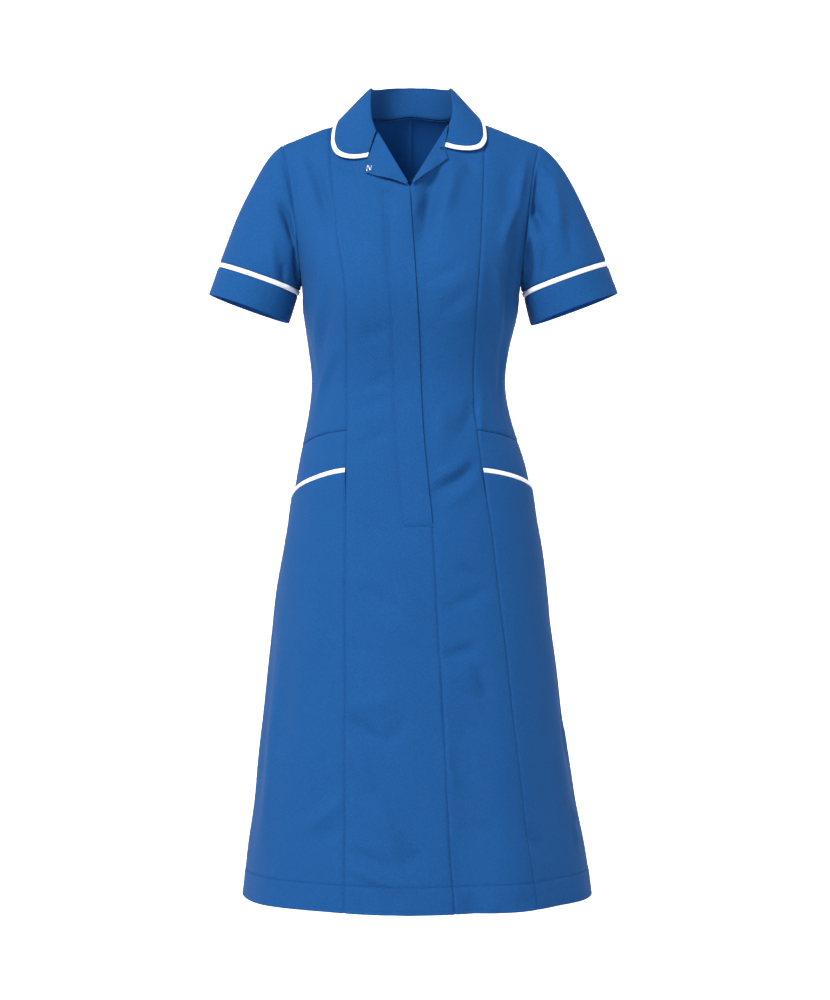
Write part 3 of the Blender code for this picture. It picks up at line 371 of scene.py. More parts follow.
SEAM_STEPS = (0.0, 0.0006, 0.0014, 0.0026, 0.0045, 0.0075)
ROW_STEP = 0.0048
SEAM_BITE = 0.0003       # how far seamed edges press into each other
ARMHOLE_BITE = 0.0045    # how far the sleeve's turning reaches into the armhole
SEAM_ROLL = 0.0019       # how far from a seam the cloth turns in
SEAM_DEPTH = 0.0015
PUCKER_PITCH = 0.013     # ripples that the sewing draws up along a seam
PUCKER_REACH = 0.010
PUCKER_DEPTH = 0.00022
HEM_TURN = 0.035         # depth of the hem, where its stitching runs

LEAF_SPRING = 0.0028     # the collar's leaves and the lapels stand a little off the dress
LAPEL_SPRING = 0.0035

# The bent wire of the hook, on the right lapel: marks across, up and out from its middle
HOOK_X = -0.0542
HOOK_HEIGHT = -0.0725
HOOK_WIRE = 0.0010
HOOK = (
    (-0.0016, -0.0040, 0.0000),
    (-0.0028, -0.0034, 0.0000),
    (-0.0027, 0.0002, 0.0002),
    (-0.0024, 0.0034, 0.0003),
    (-0.0013, 0.0036, 0.0007),
    (0.0002, 0.0002, 0.0010),
    (0.0013, -0.0032, 0.0007),
    (0.0026, -0.0028, 0.0003),
    (0.0026, 0.0006, 0.0002),
    (0.0028, 0.0038, 0.0000),
)

# The flat cut of what shows of each piece, all round on a tube: width, length, area
SHEETS = {}


def mix(a, b, share):
    """The value that lies a share of the way from a to b."""
    return a + (b - a) * share


def smooth(value, low, high):
    """0 below low, 1 above high, and a soft step between them."""
    t = np.clip((value - low) / (high - low), 0.0, 1.0)
    return t * t * (3 - 2 * t)


def unit(vectors):
    """Vectors of length one."""
    return vectors / np.maximum(np.linalg.norm(vectors, axis=-1, keepdims=True), 1e-12)


def linear(colour):
    """An sRGB hex colour as the linear values that a shader takes."""
    channels = [int(colour[i:i + 2], 16) / 255.0 for i in (1, 3, 5)]
    return [c / 12.92 if c <= 0.04045 else ((c + 0.055) / 1.055) ** 2.4 for c in channels] + [1.0]


def read_table(table, columns, column, key):
    """Smooth values from one column of a table, which runs from low keys to high."""
    keys = np.array([row[0] for row in table])
    values = np.array([row[columns.index(column)] for row in table])
    last = len(keys) - 1
    order = np.arange(last + 1)
    before = np.maximum(order - 1, 0)
    after = np.minimum(order + 1, last)
    slopes = (values[after] - values[before]) / (keys[after] - keys[before])
    key = np.clip(np.asarray(key, float), keys[0], keys[last])
    low = np.clip(np.searchsorted(keys, key) - 1, 0, last - 1)
    width = keys[low + 1] - keys[low]
    t = (key - keys[low]) / width
    start = (2 * t ** 3 - 3 * t ** 2 + 1) * values[low]
    leave = (t ** 3 - 2 * t ** 2 + t) * width * slopes[low]
    end = (3 * t ** 2 - 2 * t ** 3) * values[low + 1]
    arrive = (t ** 3 - t ** 2) * width * slopes[low + 1]
    return start + leave + end + arrive


def shoulder_height(x):
    """Height of the shoulder line, which climbs faster towards the neck and arches over it."""
    away = np.maximum(np.abs(x), NECK_HALF)
    extra = np.maximum(0.0, NECK_RISE_HALF - away) / NECK_RISE_HALF
    line = TIP_HEIGHT + (TIP_HALF - away) * SHOULDER_SLOPE + NECK_RISE * extra ** 2
    share = np.minimum(np.abs(x) / NECK_HALF, 1.0)
    return line + NECK_ARCH * (1 - share ** 2) - NECK_ARCH_EASE * (1 - share ** 4)


def ring(height):
    """Middle, half width, front depth, back depth and squareness of the body there."""
    right, left, front, back, square = (
        read_table(RINGS, RING_COLUMNS, column, height) for column in RING_COLUMNS[1:]
    )
    return (right + left) / 2, (left - right) / 2, front, back, square


def flute(degrees, height):
    """How far the skirt waves out at this bearing."""
    fade = np.maximum((FLUTE_TOP - height) / (FLUTE_TOP - HEM), 0.0) ** 1.6
    wave = 0.0
    for middle, half, depth in FLUTES:
        away = (degrees - middle + 180.0) % 360.0 - 180.0
        wave = wave + depth * np.exp(-(away / half) ** 2)
    return fade * wave


def body_point(degrees, height):
    """Points of the cloth's outer side. 0 is the wearer's left, 90 back, 270 front."""
    degrees, height = np.broadcast_arrays(np.asarray(degrees, float), np.asarray(height, float))
    middle, half, front, back, square = ring(height)
    c = np.cos(np.radians(degrees))
    s = np.sin(np.radians(degrees))
    x = middle + half * np.sign(c) * np.abs(c) ** (2 / square)
    y = np.where(s >= 0, back, front) * np.sign(s) * np.abs(s) ** (2 / square)
    across = np.exp(-((np.abs(x) - BUST_X) / BUST_SPREAD) ** 2)
    along = np.exp(-((height - BUST_HEIGHT) / BUST_RISE) ** 2)
    y = y - np.where(s < 0, BUST_DEPTH * across * along * np.abs(s), 0.0)
    round_over = np.where(s >= 0, ROUND_BACK, ROUND_FRONT)
    below = np.clip((shoulder_height(x) - height) / round_over, 0.0, 1.0)
    y = y * np.sqrt(1.0 - (1.0 - below) ** 2)
    wave = flute(degrees, height)
    return np.stack((x + wave * c, y + wave * s, height), axis=-1)


def body_normal(degrees, height):
    """The direction straight out of the cloth."""
    degrees, height = np.broadcast_arrays(np.asarray(degrees, float), np.asarray(height, float))
    here = body_point(degrees, height)
    x = here[..., 0]
    step = 0.0004
    turn = 0.15
    lean = (shoulder_height(x + step) - shoulder_height(x - step)) / (2 * step)
    ridge = unit(np.stack((-lean, np.zeros_like(x), np.ones_like(x)), axis=-1))
    sides = []
    for way in (-turn, turn):
        beside = body_point(degrees + way, height)[..., 0]
        follow = np.where(height > V_POINT, shoulder_height(beside) - shoulder_height(x), 0.0)
        sides.append(body_point(degrees + way, height + follow))
    up = here - body_point(degrees, height - step)
    face = unit(np.cross(sides[1] - sides[0], up))
    on_ridge = (shoulder_height(x) - height < step)[..., None]
    return np.where(on_ridge, ridge, face)


def degrees_at(x, height, face):
    """The bearing of the point with this x, on the front or the back."""
    middle, half, _, _, square = ring(height)
    share = np.minimum(np.abs(x - middle) / half, 1.0)
    away = np.degrees(np.arccos(np.copysign(share ** (square / 2), x - middle)))
    return away if face == "back" else 360.0 - away


def side_degrees(side, height):
    """The bearing of a side seam."""
    swing = read_table(SWING, SWING_COLUMNS, "side", height)
    return 180.0 + swing if side == "right" else 360.0 + swing


def front_degrees(line, height):
    """The bearing of a princess seam or of the front edge."""
    return degrees_at(read_table(SEAMS, SEAM_COLUMNS, line, height), height, "front")


def back_degrees(height):
    """The bearing of the centre back seam."""
    return degrees_at(read_table(SWING, SWING_COLUMNS, "back_x", height), height, "back")


def neck_edge(side, height):
    """The bearing of the front edge above the V, where the lapel rolls over."""
    start = read_table(SEAMS, SEAM_COLUMNS, "centre", V_POINT)
    end = math.copysign(NECK_HALF, -1.0 if side == "right" else 1.0)
    share = (height - V_POINT) / (shoulder_height(NECK_HALF) - V_POINT)
    return degrees_at(mix(start, end, share), height, "front")


def armhole_spot(side, face, share):
    """Bearing and height of points on the armhole."""
    away = read_table(ARMHOLE, ARMHOLE_COLUMNS, face + "_degrees", share)
    height = read_table(ARMHOLE, ARMHOLE_COLUMNS, face + "_height", share)
    x = TIP_HALF if side == "left" else -TIP_HALF
    if face == "back":
        bearing = away if side == "left" else 180.0 - away
    else:
        bearing = 360.0 - away if side == "left" else 180.0 + away
    top = np.asarray(share) >= 1.0
    tip = shoulder_height(x)
    return np.where(top, degrees_at(x, tip, face), bearing), np.where(top, tip, height)


def coons(bottom, top, low, high, u, v):
    """Spots between four edges, each a function that gives bearing and height."""
    spots = []
    for k in (0, 1):
        along = (1 - v) * bottom(u)[k] + v * top(u)[k]
        across = (1 - u) * low(v)[k] + u * high(v)[k]
        corners = (
            (1 - u) * (1 - v) * bottom(0.0)[k] + u * (1 - v) * bottom(1.0)[k]
            + (1 - u) * v * top(0.0)[k] + u * v * top(1.0)[k]
        )
        spots.append(along + across - corners)
    return tuple(spots)


def dropped(side, height, share):
    """Height of a row, a share of the way from princess seam to side seam."""
    drop = read_table(DROPS, DROP_COLUMNS, side, height) * share ** DROP_CURVE
    level = (height <= HIP_FREE) | (height >= WAIST)
    return np.where(level, height, height - drop)


def shoulder_spot(x_start, x_end, share, face):
    """Points of the shoulder seam between two distances from the middle."""
    x = mix(x_start, x_end, share)
    return degrees_at(x, shoulder_height(x), face), shoulder_height(x)


def princess_spot(side, v):
    """Points of the princess seam from underarm height (0) to shoulder (1)."""
    top_x = read_table(SEAMS, SEAM_COLUMNS, side, 0.0)
    height = mix(UNDERARM, shoulder_height(top_x), v)
    at_top = degrees_at(top_x, height, "front")
    return np.where(np.asarray(v) >= 1.0, at_top, front_degrees(side, height)), height


def front_edge_spot(side, v):
    """Points of the front edge from underarm height (0) to the side neck point (1)."""
    height = mix(UNDERARM, shoulder_height(NECK_HALF), np.asarray(v, float))
    below = front_degrees("centre", height)
    return np.where(height < V_POINT, below, neck_edge(side, height)), height


def front_spots(side, rows, u):
    """Bearings and heights of a centre front panel, princess seam to front edge."""
    start = front_degrees(side, rows)
    end = front_degrees("centre", rows)
    return mix(start, end, u), rows + 0 * u


def front_top_spots(side, v, u):
    """The same panel above the underarm."""
    sign = -1.0 if side == "right" else 1.0
    top_x = read_table(SEAMS, SEAM_COLUMNS, side, 0.0)
    ends = (front_degrees(side, UNDERARM), front_degrees("centre", UNDERARM))
    return coons(
        lambda k: (mix(ends[0], ends[1], k), UNDERARM),
        lambda k: shoulder_spot(top_x, sign * NECK_HALF, k, "front"),
        lambda k: princess_spot(side, k),
        lambda k: front_edge_spot(side, k),
        u, v,
    )


def side_front_spots(side, rows, u):
    """Bearings and heights of a side front panel, princess seam to side seam."""
    start = front_degrees(side, rows)
    end = side_degrees(side, dropped(side, rows, 1.0))
    return mix(start, end, u), dropped(side, rows, u)


def side_front_top_spots(side, v, u):
    """The same panel above the underarm."""
    sign = -1.0 if side == "right" else 1.0
    top_x = read_table(SEAMS, SEAM_COLUMNS, side, 0.0)
    ends = (front_degrees(side, UNDERARM), side_degrees(side, UNDERARM))
    return coons(
        lambda k: (mix(ends[0], ends[1], k), UNDERARM),
        lambda k: shoulder_spot(top_x, sign * TIP_HALF, k, "front"),
        lambda k: princess_spot(side, k),
        lambda k: armhole_spot(side, "front", k),
        u, v,
    )


def back_spots(side, rows, u):
    """Bearings and heights of a back panel, side seam to centre back."""
    start = side_degrees(side, dropped(side, rows, 1.0))
    start = start - 360.0 if side == "left" else start
    return mix(start, back_degrees(rows), u), dropped(side, rows, 1.0 - u)


def back_top_spots(side, v, u):
    """The same panel above the underarm."""
    sign = -1.0 if side == "right" else 1.0
    start = 0.0 if side == "left" else 180.0

    def top(k):
        k = np.asarray(k, float)
        seam = shoulder_spot(sign * TIP_HALF, sign * NECK_HALF, k / SHOULDER_SHARE, "back")
        share = np.clip((1.0 - k) / (1.0 - SHOULDER_SHARE), 0.0, 1.0)
        x = sign * read_table(BACK_NECK, BACK_NECK_COLUMNS, "x", share)
        height = read_table(BACK_NECK, BACK_NECK_COLUMNS, "height", share)
        on_seam = k <= SHOULDER_SHARE
        return np.where(on_seam, seam[0], degrees_at(x, height, "back")), np.where(on_seam, seam[1], height)

    return coons(
        lambda k: (mix(start, back_degrees(UNDERARM), k), UNDERARM),
        top,
        lambda k: armhole_spot(side, "back", k),
        lambda k: (back_degrees(mix(UNDERARM, NAPE, k)), mix(UNDERARM, NAPE, k)),
        u, v,
    )


PANELS = {
    "front": (front_spots, front_top_spots),
    "side_front": (side_front_spots, side_front_top_spots),
    "back": (back_spots, back_top_spots),
}


def panel_spots(kind, side, rows, u):
    """Spots of a panel. A row above the underarm is the underarm plus its share."""
    lower, upper = PANELS[kind]
    low = rows <= UNDERARM
    parts = []
    if low.any():
        parts.append(lower(side, rows[low][:, None], u[low]))
    if (~low).any():
        parts.append(upper(side, (rows[~low] - UNDERARM)[:, None], u[~low]))
    return tuple(np.vstack([part[k] for part in parts]) for k in (0, 1))


def rows_between(start, end, lines=()):
    """Rows at an even step, with closer ones beside each named line."""
    count = max(int(round((end - start) / ROW_STEP)), 2)
    rows = list(np.linspace(start, end, count + 1))
    for line in lines:
        rows += [line + way * step for step in SEAM_STEPS[:4] for way in (-1, 1)]
    rows = sorted(row for row in rows if start <= row <= end)
    kept = [rows[0]]
    for row in rows[1:]:
        if row - kept[-1] > 0.0003:
            kept.append(row)
    kept[-1] = end
    return np.array(kept)


def top_rows(height):
    """Rows above the underarm to a panel's top, which is this far up."""
    bottom_of_v = (V_POINT - UNDERARM) / (shoulder_height(NECK_HALF) - UNDERARM)
    count = int(round(height / ROW_STEP))
    shares = list(np.linspace(0, 1, count + 1)[1:]) + [bottom_of_v]
    shares += [1.0 - step / height for step in SEAM_STEPS[1:5]]
    return UNDERARM + np.array(sorted(set(shares)))


def shares_across(width, cells):
    """Shares across a panel of this width, closer together at its two seams."""
    ends = np.array(SEAM_STEPS)
    middle = np.linspace(ends[-1], width - ends[-1], cells + 1)[1:-1]
    return np.concatenate((ends, middle, width - ends[::-1])) / width


def panel_grid(kind, side, rows, cells, part=(0.0, 1.0)):
    """Spots of a panel or of a part across it, with each one's distance from its sides."""
    even = np.linspace(part[0], part[1], 13)[None, :] + 0 * rows[:, None]
    points = body_point(*panel_spots(kind, side, rows, even))
    widths = np.linalg.norm(np.diff(points, axis=1), axis=-1).sum(axis=1)
    shares = np.array([shares_across(width, cells) for width in widths])
    u = mix(part[0], part[1], shares)
    degrees, height = panel_spots(kind, side, rows, u)
    return degrees, height, shares * widths[:, None], (1 - shares) * widths[:, None], u


def stroke_path(face, across_0, height_0, across_1, height_1, bow):
    """The line on the body that a fold follows."""
    t = np.linspace(0, 1, 14)
    height = mix(height_0, height_1, t)
    across = mix(across_0, across_1, t) + bow * np.sin(np.pi * t)
    bearing = across if face == "side" else degrees_at(across, height, face)
    return body_point(bearing, height)


def near_path(points, path):
    """Distance to a path and the share of the way along it, for many points."""
    start = path[:-1]
    step = path[1:] - start
    away = points[:, None, :] - start[None]
    t = np.clip((away * step).sum(-1) / (step ** 2).sum(-1), 0, 1)
    gaps = np.linalg.norm(away - t[..., None] * step, axis=-1)
    best = gaps.argmin(axis=1)
    rows = np.arange(len(points))
    return gaps[rows, best], (best + t[rows, best]) / len(step)


def fold_height(points, strokes):
    """How far the folds raise or sink each point."""
    flat = points.reshape(-1, 3)
    height = np.zeros(len(flat))
    for path, half, depth in strokes:
        reach = half * 2.6
        near = np.all((flat > path.min(0) - reach) & (flat < path.max(0) + reach), axis=1)
        if not near.any():
            continue
        gap, share = near_path(flat[near], path)
        taper = np.sin(np.pi * np.clip(share, 0.02, 0.98)) ** 0.7
        height[near] += depth * taper * np.exp(-(gap / half) ** 2)
    for a, b, c, phase, size in UNEVEN:
        height += size * np.sin(flat @ np.array((a, b, c)) + phase)
    return height.reshape(points.shape[:-1])


BODY_STROKES = [(stroke_path(*row[:6]), row[6], row[7]) for row in FOLDS]


def cloth_surface(degrees, height, lift=0.0):
    """Points and normals of the hanging cloth, folds included."""
    base = body_point(degrees, height)
    normals = body_normal(degrees, height)
    return base + normals * (fold_height(base, BODY_STROKES) + lift)[..., None], normals


def seam_shape(distance, along):
    """The turn-in of a seam and the ripples beside it."""
    roll = -SEAM_DEPTH * np.exp(-(distance / SEAM_ROLL) ** 2)
    ripple = np.cos(2 * np.pi * along / PUCKER_PITCH + 3 * np.sin(along * 23.0))
    return roll + PUCKER_DEPTH * ripple * np.exp(-distance / PUCKER_REACH) * smooth(distance, 0.0, 0.003)


def stitch_groove(distance):
    """The dent of a row of stitches."""
    return -0.00055 * np.exp(-(distance / 0.0011) ** 2)


def grid_along(points):
    """Distance up each column of a grid."""
    steps = np.linalg.norm(np.diff(points, axis=0), axis=-1)
    return np.vstack((np.zeros((1, points.shape[1])), np.cumsum(steps, axis=0)))


def grid_across(points):
    """Distance along each row of a grid."""
    return grid_along(points.swapaxes(0, 1)).T


def trimmed(points, edges, by):
    """A grid with the named edges moved inwards."""
    points = points.copy()

    def nearer(point, other):
        return point + unit(other - point) * by

    if "low" in edges:
        points[:, 0] = nearer(points[:, 0], points[:, 1])
    if "high" in edges:
        points[:, -1] = nearer(points[:, -1], points[:, -2])
    if "bottom" in edges:
        points[0] = nearer(points[0], points[1])
    if "top" in edges:
        points[-1] = nearer(points[-1], points[-2])
    return points


def rim_points(outer, inner, thick):
    """Where a folded edge turns, half way through the cloth and as far out."""
    def turned(edge, beside, back):
        return (edge + back) / 2 + unit(edge - beside) * thick / 2

    return {
        "bottom": turned(outer[0], outer[1], inner[0]),
        "top": turned(outer[-1], outer[-2], inner[-1]),
        "low": turned(outer[:, 0], outer[:, 1], inner[:, 0]),
        "high": turned(outer[:, -1], outer[:, -2], inner[:, -1]),
    }


def cloth_piece(name, node, outer, normals, materials, thick, closed=False, carries=None):
    """A sheet of cloth with rounded edges, on rows of outer points.

    carries names the narrow pieces sewn on it, or is None on such a piece.
    """
    rows, columns = outer.shape[:2]
    edges = ("top", "bottom") if closed else ("top", "bottom", "low", "high")
    outer = trimmed(outer, edges, thick / 2)
    inner = outer - normals * thick
    rims = rim_points(outer, inner, thick)
    count = rows * columns
    number = np.arange(count).reshape(rows, columns)
    points = [outer.reshape(-1, 3), inner.reshape(-1, 3)]
    rim_ids = {}
    used = 2 * count
    for edge in edges:
        points.append(rims[edge])
        rim_ids[edge] = used + np.arange(len(rims[edge]))
        used += len(rims[edge])
    turn = (lambda grid: np.roll(grid, -1, axis=-1)) if closed else (lambda grid: grid[..., 1:])
    stay = (lambda grid: grid) if closed else (lambda grid: grid[..., :-1])
    a, b = stay(number[:-1]), turn(number[:-1])
    c, d = turn(number[1:]), stay(number[1:])
    quads = [np.stack((a, b, c, d), -1).reshape(-1, 4)]
    quads.append(np.stack((a, d, c, b), -1).reshape(-1, 4) + count)
    lines = {
        "bottom": (number[0][::-1], True), "top": (number[-1], True),
        "low": (number[:, 0], False), "high": (number[::-1, -1], False),
    }
    for edge in edges:
        line, across = lines[edge]
        rim = rim_ids[edge][::-1] if edge in ("bottom", "high") else rim_ids[edge]
        wrap = closed and across
        ahead = (lambda ids: np.roll(ids, -1)) if wrap else (lambda ids: ids[1:])
        here = (lambda ids: ids) if wrap else (lambda ids: ids[:-1])
        quads.append(np.stack((here(line), ahead(line), ahead(rim), here(rim)), -1))
        quads.append(np.stack((here(rim), ahead(rim), ahead(line) + count, here(line) + count), -1))
    if not closed:
        corners = (
            ("bottom", 0, "low", 0, number[0, 0]), ("bottom", -1, "high", 0, number[0, -1]),
            ("top", 0, "low", -1, number[-1, 0]), ("top", -1, "high", -1, number[-1, -1]),
        )
        for one, i, two, j, corner in corners:
            pair = (rim_ids[one][i], rim_ids[two][j])
            first = pair if (one == "bottom") == (two == "low") else pair[::-1]
            quads.append(np.array([[corner, first[1], first[0], first[0]]]))
            quads.append(np.array([[corner + count, first[0], first[1], first[1]]]))
    quads = np.vstack(quads)
    middle = len(quads[: (rows - 1) * a.shape[1]]) // 2
    p = outer.reshape(-1, 3)[quads[middle]]
    facing = np.cross(p[1] - p[0], p[2] - p[0]) @ normals.reshape(-1, 3)[quads[middle][0]]
    if facing < 0:
        quads = quads[:, ::-1]
    across = grid_across(outer)
    along = grid_along(outer)
    uv = np.stack((across, along), -1).reshape(-1, 2)
    uv_all = [uv, uv]
    for edge in edges:
        pick = {"bottom": number[0], "top": number[-1], "low": number[:, 0], "high": number[:, -1]}[edge]
        uv_all.append(uv[pick])
    faces = [[v for k, v in enumerate(quad) if quad[k - 1] != v] for quad in quads.tolist()]
    piece = mesh_piece(name, np.vstack(points), faces, np.vstack(uv_all), across.max() if closed else None)
    for material in materials:
        piece.data.materials.append(material)
    inside = np.zeros(len(faces), np.int32)
    if len(materials) > 1:
        first = len(quads[: (rows - 1) * a.shape[1]])
        inside[first:2 * first] = 1
    piece.data.polygons.foreach_set("material_index", inside)
    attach(piece, "root")
    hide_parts(node)
    if carries is not None:
        declare_sheet(node, outer)
    return piece


def mesh_piece(name, points, faces, uv=None, around=None):
    """A smooth mesh object from points and faces, with the flat cut as its map."""
    mesh = bpy.data.meshes.new(name)
    mesh.from_pydata(points.tolist(), [], faces)
    if uv is not None:
        layer = mesh.uv_layers.new(name="cut")
        ids = np.zeros(len(mesh.loops), np.int32)
        mesh.loops.foreach_get("vertex_index", ids)
        values = uv[ids].copy()
        if around:
            starts = np.zeros(len(mesh.polygons), np.int32)
            totals = np.zeros(len(mesh.polygons), np.int32)
            mesh.polygons.foreach_get("loop_start", starts)
            mesh.polygons.foreach_get("loop_total", totals)
            high = np.maximum.reduceat(values[:, 0], starts)
            high = np.repeat(high, totals)
            values[:, 0] += np.where(high - values[:, 0] > around / 2, around, 0.0)
        layer.data.foreach_set("uv", values.astype(np.float32).ravel())
    mesh.shade_smooth()
    mesh.update()
    piece = bpy.data.objects.new(name, mesh)
    bpy.context.scene.collection.objects.link(piece)
    return piece


def declare_sheet(node, outer):
    """State the flat cut of a cloth piece."""
    if node in SHEETS:
        width, length, area = SHEETS[node]
    else:
        width = float(grid_across(outer)[:, -1].max())
        length = float(grid_along(outer)[-1].max())
        rising = outer[1:, 1:] - outer[:-1, :-1]
        falling = outer[:-1, 1:] - outer[1:, :-1]
        area = float(np.linalg.norm(np.cross(rising, falling), axis=-1).sum() / 2)
        area = min(max(area, 0.31 * width * length), width * length)
        print("SHEET", node, round(width, 3), round(length, 3), round(area, 5))


def add_node(tree, kind, settings, inputs):
    """Add one node with its settings, and its inputs as values or links."""
    node = tree.nodes.new(kind)
    for field, value in settings.items():
        setattr(node, field, value)
    for socket, value in inputs.items():
        if isinstance(value, bpy.types.NodeSocket):
            tree.links.new(value, node.inputs[socket])
        else:
            node.inputs[socket].default_value = value
    return node


def woven_material(name, colour, pitch, depth, roughness, sheen, mottle):
    """Woven cloth: threads both ways as low relief, with slightly uneven dye."""
    material = bpy.data.materials.new(name)
    material.use_nodes = True
    tree = material.node_tree
    shader = tree.nodes["Principled BSDF"]
    cut = add_node(tree, "ShaderNodeUVMap", {"uv_map": "cut"}, {})
    place = add_node(tree, "ShaderNodeTexCoord", {}, {})
    # A wave texture has a band every 0.314 divided by its scale
    scale = 0.31416 / pitch
    warp = add_node(
        tree, "ShaderNodeTexWave", {"bands_direction": "X"},
        {"Vector": cut.outputs["UV"], "Scale": scale, "Distortion": 0.6, "Detail": 1.0},
    )
    twill = add_node(
        tree, "ShaderNodeTexWave", {"bands_direction": "DIAGONAL"},
        {"Vector": cut.outputs["UV"], "Scale": scale * 0.7, "Distortion": 0.8, "Detail": 1.0},
    )
    threads = add_node(
        tree, "ShaderNodeMath", {"operation": "MULTIPLY_ADD"},
        {0: warp.outputs["Fac"], 1: 0.5, 2: twill.outputs["Fac"]},
    )
    fuzz = add_node(
        tree, "ShaderNodeTexNoise", {},
        {"Vector": place.outputs["Object"], "Scale": 700.0, "Detail": 3.0, "Roughness": 0.6},
    )
    relief = add_node(
        tree, "ShaderNodeMath", {"operation": "ADD"},
        {0: threads.outputs[0], 1: fuzz.outputs["Fac"]},
    )
    bump = add_node(
        tree, "ShaderNodeBump", {},
        {"Strength": 0.28, "Distance": depth, "Height": relief.outputs[0]},
    )
    dye = add_node(
        tree, "ShaderNodeTexNoise", {},
        {"Vector": place.outputs["Object"], "Scale": 420.0, "Detail": 4.0, "Roughness": 0.7},
    )
    base = linear(colour) if isinstance(colour, str) else list(colour)
    low = [max(c * (1 - mottle), 0.0) for c in base[:3]] + [1.0]
    high = [min(c * (1 + mottle), 1.0) for c in base[:3]] + [1.0]
    shade = add_node(
        tree, "ShaderNodeMix", {"data_type": "RGBA"},
        {"Factor": dye.outputs["Fac"], 6: low, 7: high},
    )
    tree.links.new(shade.outputs[2], shader.inputs["Base Color"])
    tree.links.new(bump.outputs["Normal"], shader.inputs["Normal"])
    shader.inputs["Roughness"].default_value = roughness
    shader.inputs["Sheen Weight"].default_value = sheen
    shader.inputs["Sheen Roughness"].default_value = 0.5
    shader.inputs["Specular IOR Level"].default_value = 0.06
    return material


def plated_wire_material(name, colour, metallic):
    """Plated steel wire, drawn and bent: a small sharp shine with faint drawing marks."""
    material = bpy.data.materials.new(name)
    material.use_nodes = True
    tree = material.node_tree
    shader = tree.nodes["Principled BSDF"]
    place = add_node(tree, "ShaderNodeTexCoord", {}, {})
    marks = add_node(
        tree, "ShaderNodeTexNoise", {},
        {"Vector": place.outputs["Object"], "Scale": 1800.0, "Detail": 2.0},
    )
    wear = add_node(
        tree, "ShaderNodeMapRange", {},
        {"Value": marks.outputs["Fac"], "To Min": 0.18, "To Max": 0.36},
    )
    tree.links.new(wear.outputs["Result"], shader.inputs["Roughness"])
    shader.inputs["Base Color"].default_value = list(colour)
    shader.inputs["Metallic"].default_value = metallic
    return material


def studio_material(name, colour, glow):
    """Painted studio floor: matt, with a faint roller texture and a little glow."""
    material = bpy.data.materials.new(name)
    material.use_nodes = True
    tree = material.node_tree
    shader = tree.nodes["Principled BSDF"]
    place = add_node(tree, "ShaderNodeTexCoord", {}, {})
    grain = add_node(
        tree, "ShaderNodeTexNoise", {},
        {"Vector": place.outputs["Object"], "Scale": 60.0, "Detail": 2.0},
    )
    bump = add_node(
        tree, "ShaderNodeBump", {},
        {"Strength": 0.05, "Distance": 0.001, "Height": grain.outputs["Fac"]},
    )
    tree.links.new(bump.outputs["Normal"], shader.inputs["Normal"])
    # Painted light: the sweep glows, brighter on its far side, as where a backdrop has its own lights
    side = add_node(tree, "ShaderNodeSeparateXYZ", {}, {0: place.outputs["Object"]})
    backdrop_glow = add_node(
        tree, "ShaderNodeMapRange", {"interpolation_type": "SMOOTHSTEP"},
        {"Value": side.outputs["Y"], "From Min": 0.2, "From Max": 1.1, "To Min": 0.0, "To Max": glow},
    )
    tree.links.new(backdrop_glow.outputs["Result"], shader.inputs["Emission Strength"])
    shader.inputs["Base Color"].default_value = list(colour)
    shader.inputs["Roughness"].default_value = 0.9
    shader.inputs["Emission Color"].default_value = [1.0, 1.0, 1.0, 1.0]
    return material


def cloth_materials():
    """The outer side of the dress's cloth, and the inner side with painted shade, made once."""
    made = bpy.data.materials.get("poly_cotton_twill")
    if made is None:
        colours = bpy.context.scene.dress_colours
        sizes = bpy.context.scene.dress_sizes
        # Threads are about 0.25 mm apart, and drawn 2 mm apart so that they show
        woven_material("poly_cotton_twill", colours.cloth, sizes.weave_pitch, 0.0004, 0.8, 0.02, 0.32)
        # The wrong side of the same cloth, duller, as it is never pressed flat. Its colour is painted shade, set
        # to how the inside of the dress looks in its own shadow
        woven_material("wrong_side_painted_shade", colours.inside, sizes.weave_pitch, 0.0003, 0.85, 0.05, 0.06)
    names = ("poly_cotton_twill", "wrong_side_painted_shade")
    return [bpy.data.materials[name] for name in names]


def piping_materials():
    """White woven binding, made once: soft and bright, with fine ribs across."""
    made = bpy.data.materials.get("white_woven_binding")
    if made is None:
        colours = bpy.context.scene.dress_colours
        made = woven_material("white_woven_binding", colours.piping, 0.0014, 0.0002, 0.7, 0.1, 0.02)
    return [made]


def thread_material():
    """Spun polyester thread, made once: a slight shine and a twist too fine to draw."""
    made = bpy.data.materials.get("spun_polyester_thread")
    if made is None:
        colours = bpy.context.scene.dress_colours
        made = woven_material("spun_polyester_thread", colours.thread, 0.0006, 0.0001, 0.5, 0.1, 0.05)
    return made


def sew_panel(kind, side, node, rows, cells, shape, lift=0.0, part=(0.0, 1.0), carries=()):
    """A panel of cloth on the body. shape gives the relief that its own sewing adds."""
    degrees, height, from_low, from_high, u = panel_grid(kind, side, rows, cells, part)
    base = body_point(degrees, height)
    along = grid_along(base)
    relief = shape(degrees, height, from_low, from_high, along, u)
    raise_by = lift[:, None] if isinstance(lift, np.ndarray) else lift
    points, normals = cloth_surface(degrees, height, relief + raise_by)
    points = trimmed(points, ("low", "high"), -SEAM_BITE)
    sizes = bpy.context.scene.dress_sizes
    piping = carries is None
    return cloth_piece(
        node + "_cloth", node, points, normals,
        piping_materials() if piping else cloth_materials(), sizes.cloth_thickness, carries=carries,
    )


def hem_shape(height):
    """The turned hem: a little thicker, and dented where it is stitched."""
    raised = 0.0006 * (1 - smooth(height, HEM + HEM_TURN - 0.002, HEM + HEM_TURN + 0.001))
    dent = stitch_groove(height - (HEM + HEM_TURN))
    return raised + dent


def below_lapel(height):
    """0 where the lapel covers the fly's top, 1 below."""
    return 1 - smooth(height, V_POINT - 0.014, V_POINT - 0.003)


